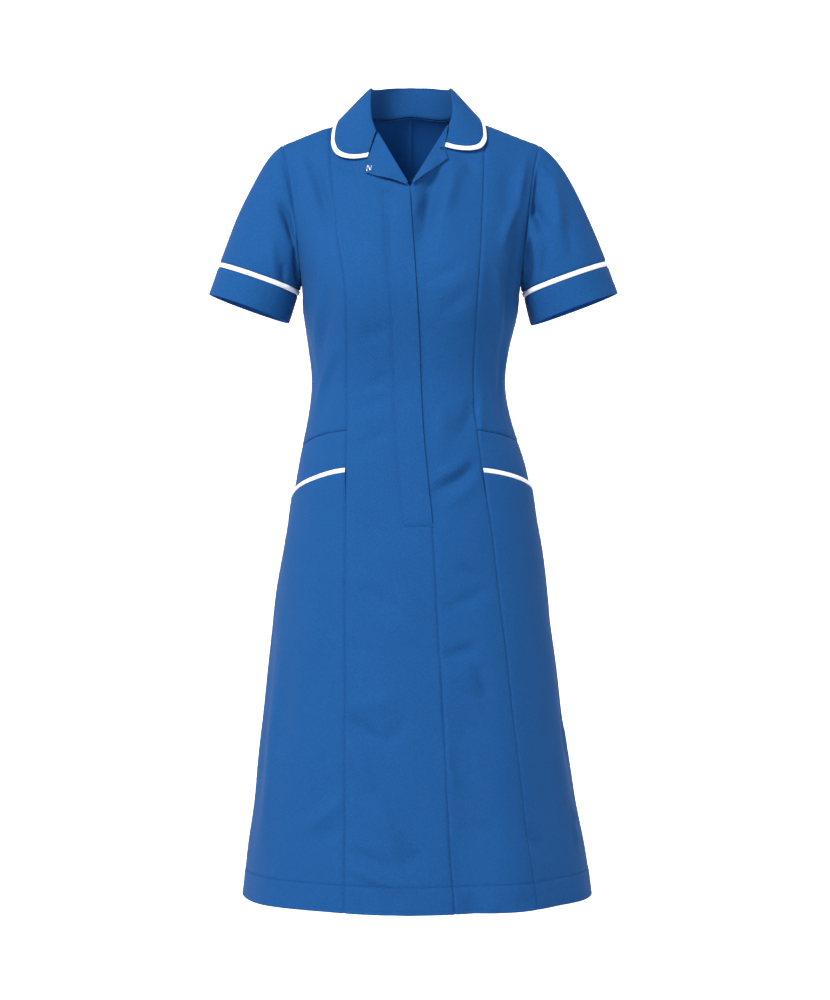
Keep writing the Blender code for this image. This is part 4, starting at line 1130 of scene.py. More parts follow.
def front_shape(side):
    """Relief of a centre front: seams, hem and the fly's hidden underlap."""
    def shape(degrees, height, from_low, from_high, along, u):
        relief = seam_shape(from_low, height) + hem_shape(height)
        below_fly = 1 - smooth(height, FLY_END - 0.002, FLY_END + 0.001)
        relief = relief + below_fly * seam_shape(from_high, height)
        if side == "right":
            beneath = smooth(u, FLY_SHARE - 0.005, FLY_SHARE + 0.03) * below_lapel(height)
            relief = relief - 0.0013 * beneath * smooth(height, FLY_END - 0.001, FLY_END + 0.002)
        else:
            relief = relief - 0.0004 * (1 - below_fly) * (1 - smooth(from_high, 0.0, 0.02))
        return relief
    return shape


def plain_shape(degrees, height, from_low, from_high, along, u):
    """Relief of a panel with a seam at each side and the hem."""
    return seam_shape(from_low, height) + seam_shape(from_high, height + 0.4) + hem_shape(height)


def build_fronts():
    """Centre front panels and the flap of the fly."""
    rows = np.concatenate((
        rows_between(HEM, UNDERARM, (HEM, HEM + HEM_TURN, FLY_END)), top_rows(0.233),
    ))
    for side in ("right", "left"):
        sew_panel("front", side, "front_" + side, rows, 26 if side == "right" else 22, front_shape(side))
    bottom_of_v = (V_POINT - UNDERARM) / (shoulder_height(NECK_HALF) - UNDERARM)
    upper = top_rows(0.233)
    upper = upper[upper <= UNDERARM + bottom_of_v + UNDER_LAPEL]
    rows = np.concatenate((rows_between(FLY_END, UNDERARM, (FLY_END,)), upper))

    def flap(degrees, height, from_low, from_high, along, u):
        free = smooth(from_low, 0.002, 0.030)
        up = smooth(along, 0.0, 0.012)
        lift = mix(0.0002, LIFT + WALL, free * up * below_lapel(height))
        ends = stitch_groove(from_low - 0.0016) + stitch_groove(along - 0.0016)
        pressed = 0.0003 * np.exp(-((from_low - 0.007) / 0.002) ** 2)
        ripple = 0.0002 * np.cos(2 * np.pi * height / PUCKER_PITCH) * np.exp(-from_low / 0.006)
        return lift + ends + pressed + ripple

    sew_panel("front", "right", "fly_placket", rows, 14, flap, part=(FLY_SHARE, 1.0))


def build_side_fronts():
    """Bust panels, pocket backs, skirt panels and the piping of the pocket mouths."""
    for side in ("right", "left"):
        upper = np.concatenate((rows_between(POCKET_SEAM, UNDERARM, (POCKET_SEAM,)), top_rows(0.205)))

        def upper_shape(degrees, height, from_low, from_high, along, u):
            relief = seam_shape(from_low, height) + seam_shape(from_high, height + 0.4)
            return relief + seam_shape(along, from_low) + seam_shape(along[-1:] - along, from_low)

        def behind_shape(degrees, height, from_low, from_high, along, u):
            relief = seam_shape(from_low, height) + seam_shape(from_high, height + 0.4)
            return relief + seam_shape(along[-1:] - along, from_low)

        sew_panel("side_front", side, "side_front_upper_" + side, upper, 18, upper_shape)
        behind = rows_between(POCKET_MOUTH - 0.012, POCKET_SEAM, (POCKET_SEAM,))
        sew_panel("side_front", side, "pocket_back_" + side, behind, 18, behind_shape, lift=-0.0004)
        lower = rows_between(HEM, POCKET_MOUTH - PIPING, (HEM, HEM + HEM_TURN))
        lifts = POCKET_LIFT * smooth(lower, POCKET_MOUTH - 0.055, POCKET_MOUTH - PIPING)
        trim = np.linspace(POCKET_MOUTH - PIPING, POCKET_MOUTH, 7)

        def crown(degrees, height, from_low, from_high, along, u):
            share = along / np.maximum(along[-1:], 1e-6)
            return 0.0005 * np.sin(np.pi * np.clip(share, 0, 1))

        piping = sew_panel(
            "side_front", side, "pocket_trim_" + side, trim, 22, crown,
            lift=POCKET_LIFT + PIPING_PROUD * 0.5, carries=None,
        )
        sew_panel(
            "side_front", side, "side_front_lower_" + side, lower, 22, plain_shape,
            lift=lifts, carries=(piping,),
        )


def build_backs():
    """Back panels from neck and shoulder to hem."""
    rows = np.concatenate((rows_between(HEM, UNDERARM, (HEM, HEM + HEM_TURN)), top_rows(0.215)))

    def shape(degrees, height, from_low, from_high, along, u):
        relief = plain_shape(degrees, height, from_low, from_high, along, u)
        return relief + seam_shape(along[-1:] - along, from_low)

    for side in ("right", "left"):
        sew_panel("back", side, "back_" + side, rows, 40, shape)


def sleeve_frame(side):
    """Middle of the cuff's mouth, its half width, and the sleeve's own direction."""
    sizes = SLEEVE_SIDES[side]
    outer = np.array((sizes["outer"][0], 0.0, sizes["outer"][1]))
    inner = np.array((sizes["inner"][0], 0.0, sizes["inner"][1]))
    across = (outer - inner) / 2
    down = unit(np.array((across[2], 0.0, -across[0])))
    if down[2] > 0:
        down = -down
    return (outer + inner) / 2, across, down


def sleeve_point(side, degrees, share):
    """Points of the sleeve's outer side, from armhole (0) to mouth (1)."""
    degrees, t = np.broadcast_arrays(np.asarray(degrees, float), np.asarray(share, float))
    middle, across, down = sleeve_frame(side)
    sign = SLEEVE_SIDES[side]["sign"]
    turn = degrees % 360.0
    front = turn <= 180.0
    hole = 1.0 - np.where(front, turn, 360.0 - turn) / 180.0
    spots = [armhole_spot(side, face, hole) for face in ("front", "back")]
    bearing = np.where(front, spots[0][0], spots[1][0])
    height = np.where(front, spots[0][1], spots[1][1])
    start = body_point(bearing, height)
    c = np.cos(np.radians(degrees))
    s = np.sin(np.radians(degrees))
    zero = np.zeros_like(c)
    end = middle + across * c[..., None] + np.stack((zero, -CUFF_HALF_DEPTH * s, zero), -1)
    length = np.linalg.norm(end - start, axis=-1)
    top = np.maximum(c, 0.0)
    under = np.maximum(-c, 0.0)
    out = np.stack((
        sign * (0.62 + 0.26 * top - 0.12 * under), -0.34 * s, -0.62 + 0.10 * top - 0.20 * under,
    ), -1)
    leave = unit(out) * (length * mix(SLEEVE_SIDES[side]["cap"], 0.80, under))[..., None]
    arrive = down * (length * 0.95)[..., None]
    t = t[..., None]
    return (
        start * (2 * t ** 3 - 3 * t ** 2 + 1) + leave * (t ** 3 - 2 * t ** 2 + t)
        + end * (3 * t ** 2 - 2 * t ** 3) + arrive * (t ** 3 - t ** 2)
    )


def sleeve_normal(side, degrees, share):
    """The direction straight out of the sleeve."""
    low = np.maximum(share - 0.004, 0.002)
    high = np.minimum(share + 0.004, 1.0)
    along = sleeve_point(side, degrees, high) - sleeve_point(side, degrees, low)
    middle = np.clip(share, 0.002, 1.0)
    around = sleeve_point(side, degrees + 1.0, middle) - sleeve_point(side, degrees - 1.0, middle)
    normal = unit(np.cross(around, along))
    return -normal if SLEEVE_SIDES[side]["sign"] < 0 else normal


def sleeve_share(side, degrees, from_mouth):
    """How far down the sleeve lie the points that are this far above the mouth."""
    low = np.zeros_like(degrees)
    high = np.ones_like(degrees)
    end = sleeve_point(side, degrees, high)
    for _ in range(24):
        guess = (low + high) / 2
        above = np.linalg.norm(sleeve_point(side, degrees, guess) - end, axis=-1) > from_mouth
        low = np.where(above, guess, low)
        high = np.where(above, high, guess)
    return high


def sleeve_surface(side, degrees, share):
    """Points and normals of a sleeve, folds included."""
    base = sleeve_point(side, degrees, share)
    normals = sleeve_normal(side, degrees, share)
    strokes = []
    for degrees_0, share_0, degrees_1, share_1, half, depth in SLEEVE_FOLDS[side]:
        t = np.linspace(0, 1, 10)
        path = sleeve_point(side, mix(degrees_0, degrees_1, t), mix(share_0, share_1, t))
        strokes.append((path, half, depth))
    fade = smooth(share, 0.0, 0.04) * (1 - smooth(share, 0.72, 0.98))
    height = fold_height(base, strokes) * fade
    return base + normals * height[..., None], normals


def build_sleeves():
    """Sleeves, piping and cuffs, one after the other down the arm."""
    sizes = bpy.context.scene.dress_sizes
    degrees = np.arange(0, 360, 3.0)
    for side in ("right", "left"):
        top = sleeve_share(side, degrees, CUFF_DEPTH + PIPING)
        low = sleeve_share(side, degrees, CUFF_DEPTH)
        steps = np.array((0.0, 0.006, 0.014, 0.026, 0.045, 0.07))
        t = np.concatenate((steps, np.linspace(0.07, 0.95, 34)[1:], (0.965, 0.98, 0.99, 1.0)))
        share = t[:, None] * top[None]
        around = degrees[None] + 0 * share
        points, normals = sleeve_surface(side, around, share)
        along = grid_along(points)
        relief = seam_shape(along, around * 0.0009) + seam_shape(along[-1:] - along, around * 0.0009)
        points = points + normals * relief[..., None]
        points = trimmed(trimmed(points, ("top",), -SEAM_BITE), ("bottom",), -ARMHOLE_BITE)
        cloth_piece(
            "sleeve_" + side + "_cloth", "sleeve_" + side, points, normals,
            cloth_materials(), sizes.cloth_thickness, closed=True, carries=(),
        )
        share = mix(top, low, np.linspace(0, 1, 7)[:, None])
        around = degrees[None] + 0 * share
        points, normals = sleeve_surface(side, around, share)
        crown = PIPING_PROUD * 0.6 + 0.0005 * np.sin(np.pi * np.linspace(0, 1, 7))[:, None]
        points = trimmed(points + normals * (crown + 0 * share)[..., None], ("top", "bottom"), -SEAM_BITE)
        piping = cloth_piece(
            "sleeve_trim_" + side + "_cloth", "sleeve_trim_" + side, points, normals,
            piping_materials(), sizes.cloth_thickness + 0.0003, closed=True,
        )
        t = np.concatenate(((0.0, 0.02, 0.05, 0.09), np.linspace(0.15, 0.90, 10), (0.95, 0.98, 1.0)))
        share = mix(low, np.ones_like(low), t[:, None])
        around = degrees[None] + 0 * share
        points, normals = sleeve_surface(side, around, share)
        along = grid_along(points)
        relief = seam_shape(along, around * 0.0009) + 0.0004 * np.sin(around * 0.09) * smooth(t, 0.2, 1.0)[:, None]
        points = trimmed(points + normals * relief[..., None], ("bottom",), -SEAM_BITE)
        cloth_piece(
            "cuff_" + side + "_cloth", "cuff_" + side, points, normals,
            cloth_materials(), sizes.cloth_thickness * 1.3, closed=True, carries=(piping,),
        )


def body_samples():
    """Close points and normals of the upper body, to keep the collar clear of it."""
    degrees, level = np.meshgrid(np.arange(0, 360, 2.0), np.linspace(-0.085, 0.014, 40))
    points, normals = cloth_surface(degrees, level)
    keep = shoulder_height(body_point(degrees, level)[..., 0]) >= level
    x = np.linspace(-0.13, 0.13, 120)
    x = x[np.abs(x) >= NECK_HALF]
    ridge, out = cloth_surface(degrees_at(x, shoulder_height(x), "front"), shoulder_height(x))
    return np.vstack((points[keep], ridge)), np.vstack((normals[keep], out))


def clear_of_body(points, need, samples):
    """The points, moved out where they are nearer to the dress than they need to be."""
    spots, normals = samples
    flat = points.reshape(-1, 3)
    moved = flat.copy()
    for start in range(0, len(flat), 500):
        part = flat[start:start + 500]
        away = part[:, None, :] - spots[None]
        nearest = (away ** 2).sum(-1).argmin(axis=1)
        rows = np.arange(len(part))
        height = (away[rows, nearest] * normals[nearest]).sum(-1)
        short = np.maximum(need - height, 0.0)
        moved[start:start + 500] = part + normals[nearest] * short[:, None]
    return moved.reshape(points.shape)


def neck_spot(side, share):
    """Bearing and height of the neck seam, from the collar's front end to the nape."""
    sign = -1.0 if side == "right" else 1.0
    if share <= NECK_SHARE:
        height = mix(LAPELS[side]["top"], shoulder_height(NECK_HALF), share / NECK_SHARE)
        return neck_edge(side, height), height
    back = 1.0 - (share - NECK_SHARE) / (1.0 - NECK_SHARE)
    x = sign * read_table(BACK_NECK, BACK_NECK_COLUMNS, "x", back)
    height = read_table(BACK_NECK, BACK_NECK_COLUMNS, "height", back)
    return degrees_at(x, height, "back"), height


def edge_point(side, share):
    """The collar's outer edge, lying on the dress."""
    sign = -1.0 if side == "right" else 1.0
    if share <= NECK_SHARE:
        x = sign * read_table(EDGE, EDGE_COLUMNS, side + "_x", share)
        height = read_table(EDGE, EDGE_COLUMNS, side + "_height", share)
        spot = degrees_at(x, height, "front"), height
    else:
        x = sign * read_table(BACK_EDGE, BACK_EDGE_COLUMNS, "x", share)
        height = read_table(BACK_EDGE, BACK_EDGE_COLUMNS, "height", share)
        spot = degrees_at(x, height, "back"), height
    spring = LEAF_SPRING * math.sin(math.pi * min(share / 0.42, 1.0))
    return body_point(*spot) + body_normal(*spot) * (COLLAR_NEED + spring)


def bezier(a, b, c, d, t):
    """A point of a cubic curve."""
    s = 1.0 - t
    return a * s ** 3 + b * 3 * s * s * t + c * 3 * s * t * t + d * t ** 3


def collar_path(side, share, stand_cells, fall_cells):
    """The collar's visible side at one place: up the stand, over the roll, down the fall."""
    spot = neck_spot(side, share)
    normal = body_normal(*spot)
    seam = body_point(*spot)
    round_side = min(share / NECK_SHARE, 1.0)
    up = unit(mix(normal, np.array((0.0, 0.0, 1.0)), round_side ** 0.7))
    inward = unit(np.array((-seam[0], -seam[1], 0.0)))
    rise = read_table(STAND, STAND_COLUMNS, "rise", share)
    lean = read_table(STAND, STAND_COLUMNS, "inward", share)
    foot = seam + normal * 2 * GAP
    top = seam + up * rise + inward * lean
    edge = edge_point(side, share)
    standing = unit(top - foot)
    length = np.linalg.norm(edge - top)
    handle = min(ROLL_HANDLE, rise * 0.9)
    over = edge - unit(edge - top) * length * 0.35
    path = [mix(foot, top, j / stand_cells) for j in range(stand_cells + 1)]
    trim = 1.0 - PIPING / length
    for j in range(1, fall_cells + 1):
        t = trim * (j / fall_cells) ** 1.35
        path.append(bezier(top, top + standing * handle, over, edge, t))
    for j in range(1, 6):
        path.append(bezier(top, top + standing * handle, over, edge, mix(trim, 1.0, j / 5)))
    return path


def grid_normals(points):
    """Normals of a grid of points, from its neighbours along and across."""
    across = np.gradient(points, axis=1)
    along = np.gradient(points, axis=0)
    return unit(np.cross(across, along))


def build_collar():
    """Stand and fall in one piece, and the piping round its edge."""
    sizes = bpy.context.scene.dress_sizes
    samples = body_samples()
    stand_cells = 8
    fall_cells = 22
    shares = np.concatenate((
        (0.0, 0.004, 0.01), np.linspace(0.02, NECK_SHARE, 40), np.linspace(NECK_SHARE, 1.0, 34)[1:],
    ))
    paths = [collar_path("right", share, stand_cells, fall_cells) for share in shares]
    paths += [collar_path("left", share, stand_cells, fall_cells) for share in shares[::-1][1:]]
    grid = np.array(paths).swapaxes(0, 1)
    fall = grid[stand_cells + 1:]
    clear = clear_of_body(fall, COLLAR_NEED, samples)
    grid = np.vstack((grid[:stand_cells + 1], clear))
    normals = grid_normals(grid)
    body = grid[:-5]
    along = grid_along(grid)
    relief = stitch_groove(along[-6:-5] - along - 0.0022)
    points = grid + normals * relief[..., None]
    crown = PIPING_PROUD * 0.6 + 0.0005 * np.sin(np.pi * np.linspace(0, 1, 6))[:, None, None]
    edge = trimmed(grid[-6:] + normals[-6:] * crown, ("bottom", "low", "high"), -SEAM_BITE)
    piping = cloth_piece(
        "collar_trim_cloth", "collar_trim", edge, normals[-6:],
        piping_materials(), sizes.cloth_thickness + 0.0003,
    )
    cloth_piece(
        "collar_cloth", "collar", points[:-5], normals[:-5],
        cloth_materials()[:1], sizes.cloth_thickness, carries=(piping,),
    )


def lapel_outline(side):
    """The lapel's corners as x and height: foot, top, notch and tip."""
    sizes = LAPELS[side]
    centre = float(read_table(SEAMS, SEAM_COLUMNS, "centre", V_POINT))
    neck = math.copysign(NECK_HALF, -1.0 if side == "right" else 1.0)
    share = (sizes["top"] - V_POINT) / (shoulder_height(NECK_HALF) - V_POINT)
    top = (mix(centre, neck, share), sizes["top"])
    return [np.array(corner, float) for corner in ((centre, V_POINT), top, sizes["notch"], sizes["tip"])]


def lapel_spot(side, across, up):
    """Bearings and heights of points of the lapel."""
    foot, top, notch, tip = lapel_outline(side)
    across = np.asarray(across, float)[..., None]
    up = np.asarray(up, float)[..., None]
    inner = mix(top, notch, across / NOTCH_SHARE)
    outer = mix(notch, tip, (across - NOTCH_SHARE) / (1.0 - NOTCH_SHARE))
    head = np.where(across <= NOTCH_SHARE, inner, outer)
    straight = mix(top, tip, across)
    spot = mix(foot, straight + (head - straight) * up, up)
    return degrees_at(spot[..., 0], spot[..., 1], "front"), spot[..., 1]


def lapel_lift(across, up):
    """Air under the lapel, which springs up along its free edge."""
    free = np.sin(np.pi * np.minimum(up / 0.8, 1.0))
    return WALL + LIFT + 0.0012 * across * up + LAPEL_SPRING * across ** 2 * free


def build_lapels():
    """The turned-back corners of the fronts."""
    sizes = bpy.context.scene.dress_sizes
    for side in ("right", "left"):
        sign = 1.0 if side == "right" else -1.0
        up = np.concatenate((np.linspace(0.07, 0.96, 34), (0.975, 0.99, 1.0)))
        level = up[:, None]
        spot = lapel_spot(side, 0 * up, up)
        edge, out = cloth_surface(*spot)
        ahead = cloth_surface(*lapel_spot(side, 0 * up, up + 0.01))[0] - edge
        past = unit(np.cross(ahead, out)) * sign
        columns = []
        normals = []
        for turn in np.radians((-110, -75, -40, -5, 30, 60)):
            way = past * math.cos(turn) + out * math.sin(turn)
            radius = (WALL + LIFT) * 0.62
            columns.append(edge + out * (WALL + LIFT - radius) + way * radius)
            normals.append(way)
        across = np.concatenate((np.linspace(0.04, 0.97, 26), (0.985, 1.0)))
        around, height = lapel_spot(side, across[None] + 0 * level, level + 0 * across[None])
        flat, face = cloth_surface(around, height, lapel_lift(across[None], level))
        points = np.concatenate((np.stack(columns, 1), flat), axis=1)
        facing = np.concatenate((np.stack(normals, 1), face), axis=1)
        points = trimmed(points, ("top",), 2 * GAP)
        cloth_piece(
            "lapel_" + side + "_cloth", "lapel_" + side, points, facing,
            cloth_materials()[:1], sizes.cloth_thickness, carries=(),
        )


def tube_points(path, radius, sides):
    """Rings of points round a path."""
    tangents = unit(np.gradient(path, axis=0))
    helper = np.array((0.31, 0.87, 0.38))
    one = unit(np.cross(tangents, helper))
    two = np.cross(tangents, one)
    turns = np.arange(sides) * 2 * np.pi / sides
    return (
        path[:, None] + radius[:, None, None] * (
            one[:, None] * np.cos(turns)[None, :, None] + two[:, None] * np.sin(turns)[None, :, None]
        )
    )


def tube_faces(rings, sides, first):
    """Faces of a closed tube whose rings of points follow one another."""
    faces = []
    for j in range(rings - 1):
        for i in range(sides):
            k = (i + 1) % sides
            a = first + j * sides
            faces.append((a + i, a + k, a + sides + k, a + sides + i))
    faces.append(tuple(first + i for i in reversed(range(sides))))
    faces.append(tuple(first + (rings - 1) * sides + i for i in range(sides)))
    return faces


def stitches_along(path, normals, length, space, radius):
    """Short threads that lie along a path and dive into the cloth at both ends."""
    steps = np.linalg.norm(np.diff(path, axis=0), axis=-1)
    distance = np.concatenate(((0.0,), np.cumsum(steps)))
    points = []
    faces = []
    start = 0.0
    t = np.array((0.0, 0.2, 0.5, 0.8, 1.0))
    sink = np.array((-0.0002, 0.0001, 0.0002, 0.0001, -0.0002))
    thick = np.array((0.45, 0.9, 1.0, 0.9, 0.45)) * radius
    while start + length < distance[-1]:
        at = start + t * length
        spine = np.stack([np.interp(at, distance, path[:, k]) for k in range(3)], -1)
        out = np.stack([np.interp(at, distance, normals[:, k]) for k in range(3)], -1)
        rings = tube_points(spine + out * sink[:, None], thick, 5)
        faces += tube_faces(5, 5, len(points) * 25)
        points.append(rings.reshape(-1, 3))
        start += length + space
    return np.vstack(points), faces


def panel_line(kind, side, rows, shares, lift):
    """Points and normals of a line across or along a panel."""
    degrees, height = panel_spots(kind, side, rows, shares[:, None])
    points, normals = cloth_surface(degrees[:, 0], height[:, 0], lift)
    return points, normals


def build_stitching():
    """Rows of stitches that show: along and across the fly, and round the hem."""
    sizes = bpy.context.scene.dress_sizes
    radius = sizes.thread_width / 2
    lines = []
    rows = np.linspace(FLY_END, UNDERARM, 120)
    lines.append(panel_line("front", "right", rows, np.full(120, FLY_SHARE + 0.022), 0.0003))
    bottom_of_v = (V_POINT - UNDERARM) / (shoulder_height(NECK_HALF) - UNDERARM)
    rows = UNDERARM + np.linspace(0.001, bottom_of_v, 50)
    lines.append(panel_line("front", "right", rows, np.full(50, FLY_SHARE + 0.022), 0.0003))
    rows = np.full(30, FLY_END + 0.0016)
    lines.append(panel_line("front", "right", rows, np.linspace(FLY_SHARE + 0.02, 0.99, 30), 0.0004))
    around = np.linspace(0.0, 360.0, 700)
    level = np.full(700, HEM + HEM_TURN)
    lines.append(cloth_surface(around, level, 0.0001))
    points = []
    faces = []
    count = 0
    for path, normals in lines:
        part, part_faces = stitches_along(path, normals, sizes.stitch_length, 0.0009, radius)
        faces += [tuple(v + count for v in face) for face in part_faces]
        points.append(part)
        count += len(part)
    piece = mesh_piece("stitching", np.vstack(points), faces)
    piece.data.materials.append(thread_material())
    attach(piece, "root")


def curve_through(marks, steps):
    """A smooth path through marks, as a Catmull-Rom curve."""
    marks = np.array(marks)
    padded = np.vstack((2 * marks[0] - marks[1], marks, 2 * marks[-1] - marks[-2]))
    t = (np.arange(steps) / steps)[:, None]
    spans = []
    for a, b, c, d in zip(padded, padded[1:], padded[2:], padded[3:]):
        bend = (c - a) * t + (2 * a - 5 * b + 4 * c - d) * t ** 2 + (3 * b - a - 3 * c + d) * t ** 3
        spans.append(b + bend / 2)
    return np.vstack(spans + [marks[-1:]])


def build_hook_and_eye():
    """The hook as bent wire in place of its solid, and the metal of the eye."""
    colours = bpy.context.scene.dress_colours
    # The hook reads silver white and the eye dark, as the photo shows them
    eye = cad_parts["collar_eye"]
    eye.data.materials.clear()
    # The eye's wire is one dark colour all over; what makes it dark is not known
    eye.data.materials.append(plated_wire_material("dark_eye_wire", colours.eye, 0.6))
    spot = degrees_at(HOOK_X, HOOK_HEIGHT, "front"), HOOK_HEIGHT
    base, out = cloth_surface(*spot, lapel_lift(0.9, 0.9) + HOOK_WIRE / 2)
    right = unit(np.cross((0.0, 0.0, 1.0), out))
    up = np.cross(out, right)
    path = curve_through(HOOK, 6) @ np.stack((right, up, out)) + base
    rings = tube_points(path, np.full(len(path), HOOK_WIRE / 2), 10)
    piece = mesh_piece("hook_wire", rings.reshape(-1, 3), tube_faces(len(path), 10, 0))
    piece.data.materials.append(plated_wire_material("silver_plated_wire", colours.wire, 0.35))
    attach(piece, "root")
    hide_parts("collar_hook")


def build_stage():
    """A pale floor that curves up all round, soft lights and the camera."""
    stage = bpy.context.scene.dress_stage
    rim = stage.floor_radius
    profile = [(0.0, 0.0), (rim * 0.5, 0.0), (rim, 0.0)]
    for i in range(1, 13):
        turn = math.radians(90 * i / 12)
        profile.append((rim + 1.4 * math.sin(turn), 1.4 - 1.4 * math.cos(turn)))
    profile.append((rim + 1.4, stage.wall_height))
    sides = 96
    points = []
    faces = []
    for radius, height in profile[1:]:
        for i in range(sides):
            turn = 2 * math.pi * i / sides
            points.append((radius * math.cos(turn), radius * math.sin(turn), stage.floor_height + height))
    for j in range(len(profile) - 2):
        for i in range(sides):
            k = (i + 1) % sides
            faces.append((j * sides + k, j * sides + i, (j + 1) * sides + i, (j + 1) * sides + k))
    faces.append(tuple(range(sides)))
    floor = mesh_piece("floor", np.array(points), faces)
    floor.data.materials.append(studio_material("painted_studio_floor", stage.floor_colour, stage.floor_glow))
    lights = (
        ("key", (-2.3, -3.6, 3.4), 1.7, stage.key_power),
        ("fill", (1.4, -3.4, 0.3), 2.6, stage.fill_power),
        ("rim", (0.8, 2.6, 1.8), 2.2, stage.fill_power),
    )
    for name, place, size, power in lights:
        data = bpy.data.lights.new(name, "AREA")
        data.shape = "DISK"
        data.size = size
        data.energy = power
        light = bpy.data.objects.new(name, data)
        light.location = place
        light.rotation_euler = (Vector((0.0, 0.0, -0.4)) - Vector(place)).to_track_quat("-Z", "Y").to_euler()
        light.visible_camera = False
        bpy.context.scene.collection.objects.link(light)
    world = bpy.data.worlds.new("soft_box")
    world.use_nodes = True
    back = world.node_tree.nodes["Background"]
    back.inputs["Color"].default_value = list(stage.floor_colour)
    back.inputs["Strength"].default_value = stage.sky_strength
    bpy.context.scene.world = world
    data = bpy.data.cameras.new("camera")
    data.lens = 86.0
    data.sensor_width = 36.0
    camera = bpy.data.objects.new("camera", data)
    camera.location = (0.0054, -stage.camera_distance, -0.5065)
    camera.rotation_euler = (math.radians(90), 0.0, 0.0)
    bpy.context.scene.collection.objects.link(camera)
    bpy.context.scene.camera = camera
    # Colours come out as they are set, so that white paint is white
    bpy.context.scene.view_settings.view_transform = "Standard"


class DressSizes(bpy.types.PropertyGroup):
    """Sizes of cloth and sewing."""
    cloth_thickness: FloatProperty(
        name="Cloth thickness", description="Thickness of the cloth with its facing",
        default=0.0010, min=0.0003, max=0.003, unit="LENGTH",
    )
    weave_pitch: FloatProperty(
        name="Weave pitch", description="Drawn distance between threads",
        default=0.0020, min=0.0002, max=0.01, unit="LENGTH",
    )
    stitch_length: FloatProperty(
        name="Stitch length", description="Length of one stitch",
        default=0.0026, min=0.001, max=0.006, unit="LENGTH",
    )
    thread_width: FloatProperty(
        name="Thread width", description="Thickness of the sewing thread",
        default=0.00045, min=0.0002, max=0.002, unit="LENGTH",
    )


class DressColours(bpy.types.PropertyGroup):
    """Colours of cloth, piping, thread and wire."""
    cloth: FloatVectorProperty(
        name="Cloth", description="Right side of the cloth",
        default=linear("#1B4F88"), size=4, min=0.0, max=1.0, subtype="COLOR",
    )
    # Painted shade: the wrong side takes the colour that the inside of the dress shows in its own shadow
    inside: FloatVectorProperty(
        name="Inside", description="Wrong side of the cloth",
        default=linear("#155096"), size=4, min=0.0, max=1.0, subtype="COLOR",
    )
    piping: FloatVectorProperty(
        name="Piping", description="White binding",
        default=linear("#FAFBFC"), size=4, min=0.0, max=1.0, subtype="COLOR",
    )
    thread: FloatVectorProperty(
        name="Thread", description="Sewing thread",
        default=linear("#15488A"), size=4, min=0.0, max=1.0, subtype="COLOR",
    )
    wire: FloatVectorProperty(
        name="Hook wire", description="Bright plating of the hook",
        default=linear("#F4F6F8"), size=4, min=0.0, max=1.0, subtype="COLOR",
    )
    # The eye is drawn in one dark colour; what makes it dark is not known
    eye: FloatVectorProperty(
        name="Eye wire", description="Dull dark plating of the eye",
        default=linear("#1B2A44"), size=4, min=0.0, max=1.0, subtype="COLOR",
    )


class DressStage(bpy.types.PropertyGroup):
    """Floor, lights and camera."""
    floor_height: FloatProperty(
        name="Floor height", description="Height of the studio floor",
        default=-1.42, unit="LENGTH",
    )
    floor_radius: FloatProperty(
        name="Floor radius", description="Flat part of the floor",
        default=4.2, min=3.6, unit="LENGTH",
    )
    wall_height: FloatProperty(
        name="Wall height", description="Height of the sweep above the floor",
        default=5.5, min=3.0, unit="LENGTH",
    )
    floor_colour: FloatVectorProperty(
        name="Floor colour", description="Pale studio paint",
        default=linear("#D4D4D6"), size=4, min=0.0, max=1.0, subtype="COLOR",
    )
    floor_glow: FloatProperty(
        name="Floor glow", description="Light that the sweep gives by itself",
        default=0.95, min=0.0,
    )
    sky_strength: FloatProperty(
        name="Sky strength", description="Soft light from above the sweep",
        default=0.20, min=0.0,
    )
    key_power: FloatProperty(
        name="Key power", description="Light from above in front",
        default=325.0, min=0.0, unit="POWER",
    )
    fill_power: FloatProperty(
        name="Fill power", description="Light from the other side",
        default=17.0, min=0.0, unit="POWER",
    )
    camera_distance: FloatProperty(
        name="Camera distance", description="From the dress's middle to the camera",
        default=3.2, min=1.0, unit="LENGTH",
    )


class DRESS_OT_stage(bpy.types.Operator):
    """Make the floor, the lights and the camera"""
    bl_idname = "dress.stage"
    bl_label = "Stage"

    def execute(self, context):
        build_stage()
        return {"FINISHED"}


class DRESS_OT_fronts(bpy.types.Operator):
    """Sew the centre fronts and the fly"""
    bl_idname = "dress.fronts"
    bl_label = "Fronts and fly"

    def execute(self, context):
        build_fronts()
        return {"FINISHED"}


class DRESS_OT_side_fronts(bpy.types.Operator):
    """Sew the side fronts and the pockets"""
    bl_idname = "dress.side_fronts"
    bl_label = "Side fronts and pockets"

    def execute(self, context):
        build_side_fronts()
        return {"FINISHED"}


class DRESS_OT_backs(bpy.types.Operator):
    """Sew the backs"""
    bl_idname = "dress.backs"
    bl_label = "Backs"

    def execute(self, context):
        build_backs()
        return {"FINISHED"}


class DRESS_OT_sleeves(bpy.types.Operator):
    """Sew the sleeves with piping and cuffs"""
    bl_idname = "dress.sleeves"
    bl_label = "Sleeves"

    def execute(self, context):
        build_sleeves()
        return {"FINISHED"}


class DRESS_OT_collar(bpy.types.Operator):
    """Sew the collar and its piping"""
    bl_idname = "dress.collar"
    bl_label = "Collar"

    def execute(self, context):
        build_collar()
        return {"FINISHED"}


class DRESS_OT_lapels(bpy.types.Operator):
    """Turn back the lapels"""
    bl_idname = "dress.lapels"
    bl_label = "Lapels"

    def execute(self, context):
        build_lapels()
        return {"FINISHED"}


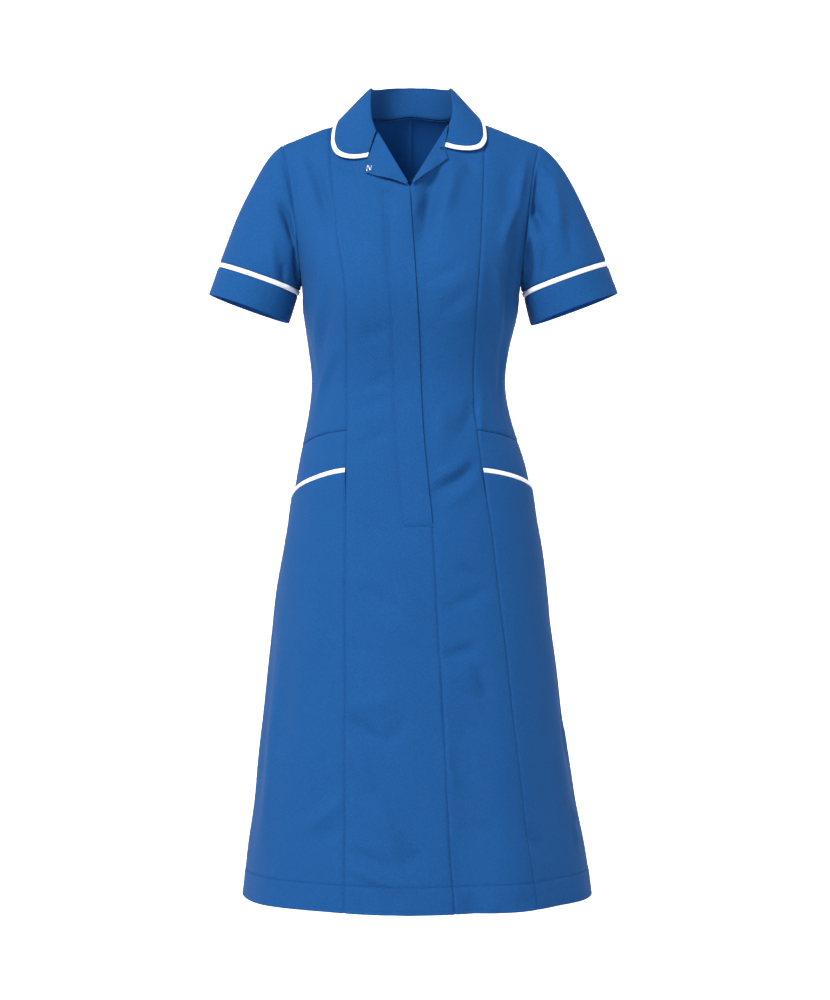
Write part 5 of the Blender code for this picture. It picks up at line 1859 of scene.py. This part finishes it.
class DRESS_OT_stitching(bpy.types.Operator):
    """Stitch fly, hem and edges"""
    bl_idname = "dress.stitching"
    bl_label = "Stitching"

    def execute(self, context):
        build_stitching()
        return {"FINISHED"}


class DRESS_OT_hook_and_eye(bpy.types.Operator):
    """Finish the hook and the eye"""
    bl_idname = "dress.hook_and_eye"
    bl_label = "Hook and eye"

    def execute(self, context):
        build_hook_and_eye()
        return {"FINISHED"}


OPERATORS = (
    DRESS_OT_stage, DRESS_OT_fronts, DRESS_OT_side_fronts, DRESS_OT_backs, DRESS_OT_sleeves,
    DRESS_OT_collar, DRESS_OT_lapels, DRESS_OT_stitching, DRESS_OT_hook_and_eye,
)


class DRESS_PT_panel(bpy.types.Panel):
    """Sizes, colours and the steps of making"""
    bl_idname = "DRESS_PT_panel"
    bl_label = "Nurse uniform dress"
    bl_space_type = "VIEW_3D"
    bl_region_type = "UI"
    bl_category = "Dress"

    def draw(self, context):
        for name in ("dress_sizes", "dress_colours", "dress_stage"):
            group = getattr(context.scene, name)
            for field in group.bl_rna.properties.keys():
                if field not in ("rna_type", "name"):
                    self.layout.prop(group, field)
        for operator in OPERATORS:
            self.layout.operator(operator.bl_idname)


GROUPS = (DressSizes, DressColours, DressStage)
CLASSES = GROUPS + OPERATORS + (DRESS_PT_panel,)


def register():
    """Add the classes and the scene's settings."""
    for item in CLASSES:
        bpy.utils.register_class(item)
    bpy.types.Scene.dress_sizes = PointerProperty(type=DressSizes)
    bpy.types.Scene.dress_colours = PointerProperty(type=DressColours)
    bpy.types.Scene.dress_stage = PointerProperty(type=DressStage)


def unregister():
    """Take them out again."""
    del bpy.types.Scene.dress_stage
    del bpy.types.Scene.dress_colours
    del bpy.types.Scene.dress_sizes
    for item in reversed(CLASSES):
        bpy.utils.unregister_class(item)


def main():
    """Make everything in order."""
    register()
    for step in (
        bpy.ops.dress.stage, bpy.ops.dress.fronts, bpy.ops.dress.side_fronts, bpy.ops.dress.backs,
        bpy.ops.dress.sleeves, bpy.ops.dress.collar, bpy.ops.dress.lapels, bpy.ops.dress.stitching,
        bpy.ops.dress.hook_and_eye,
    ):
        step()


if __name__ == "__main__":
    main()
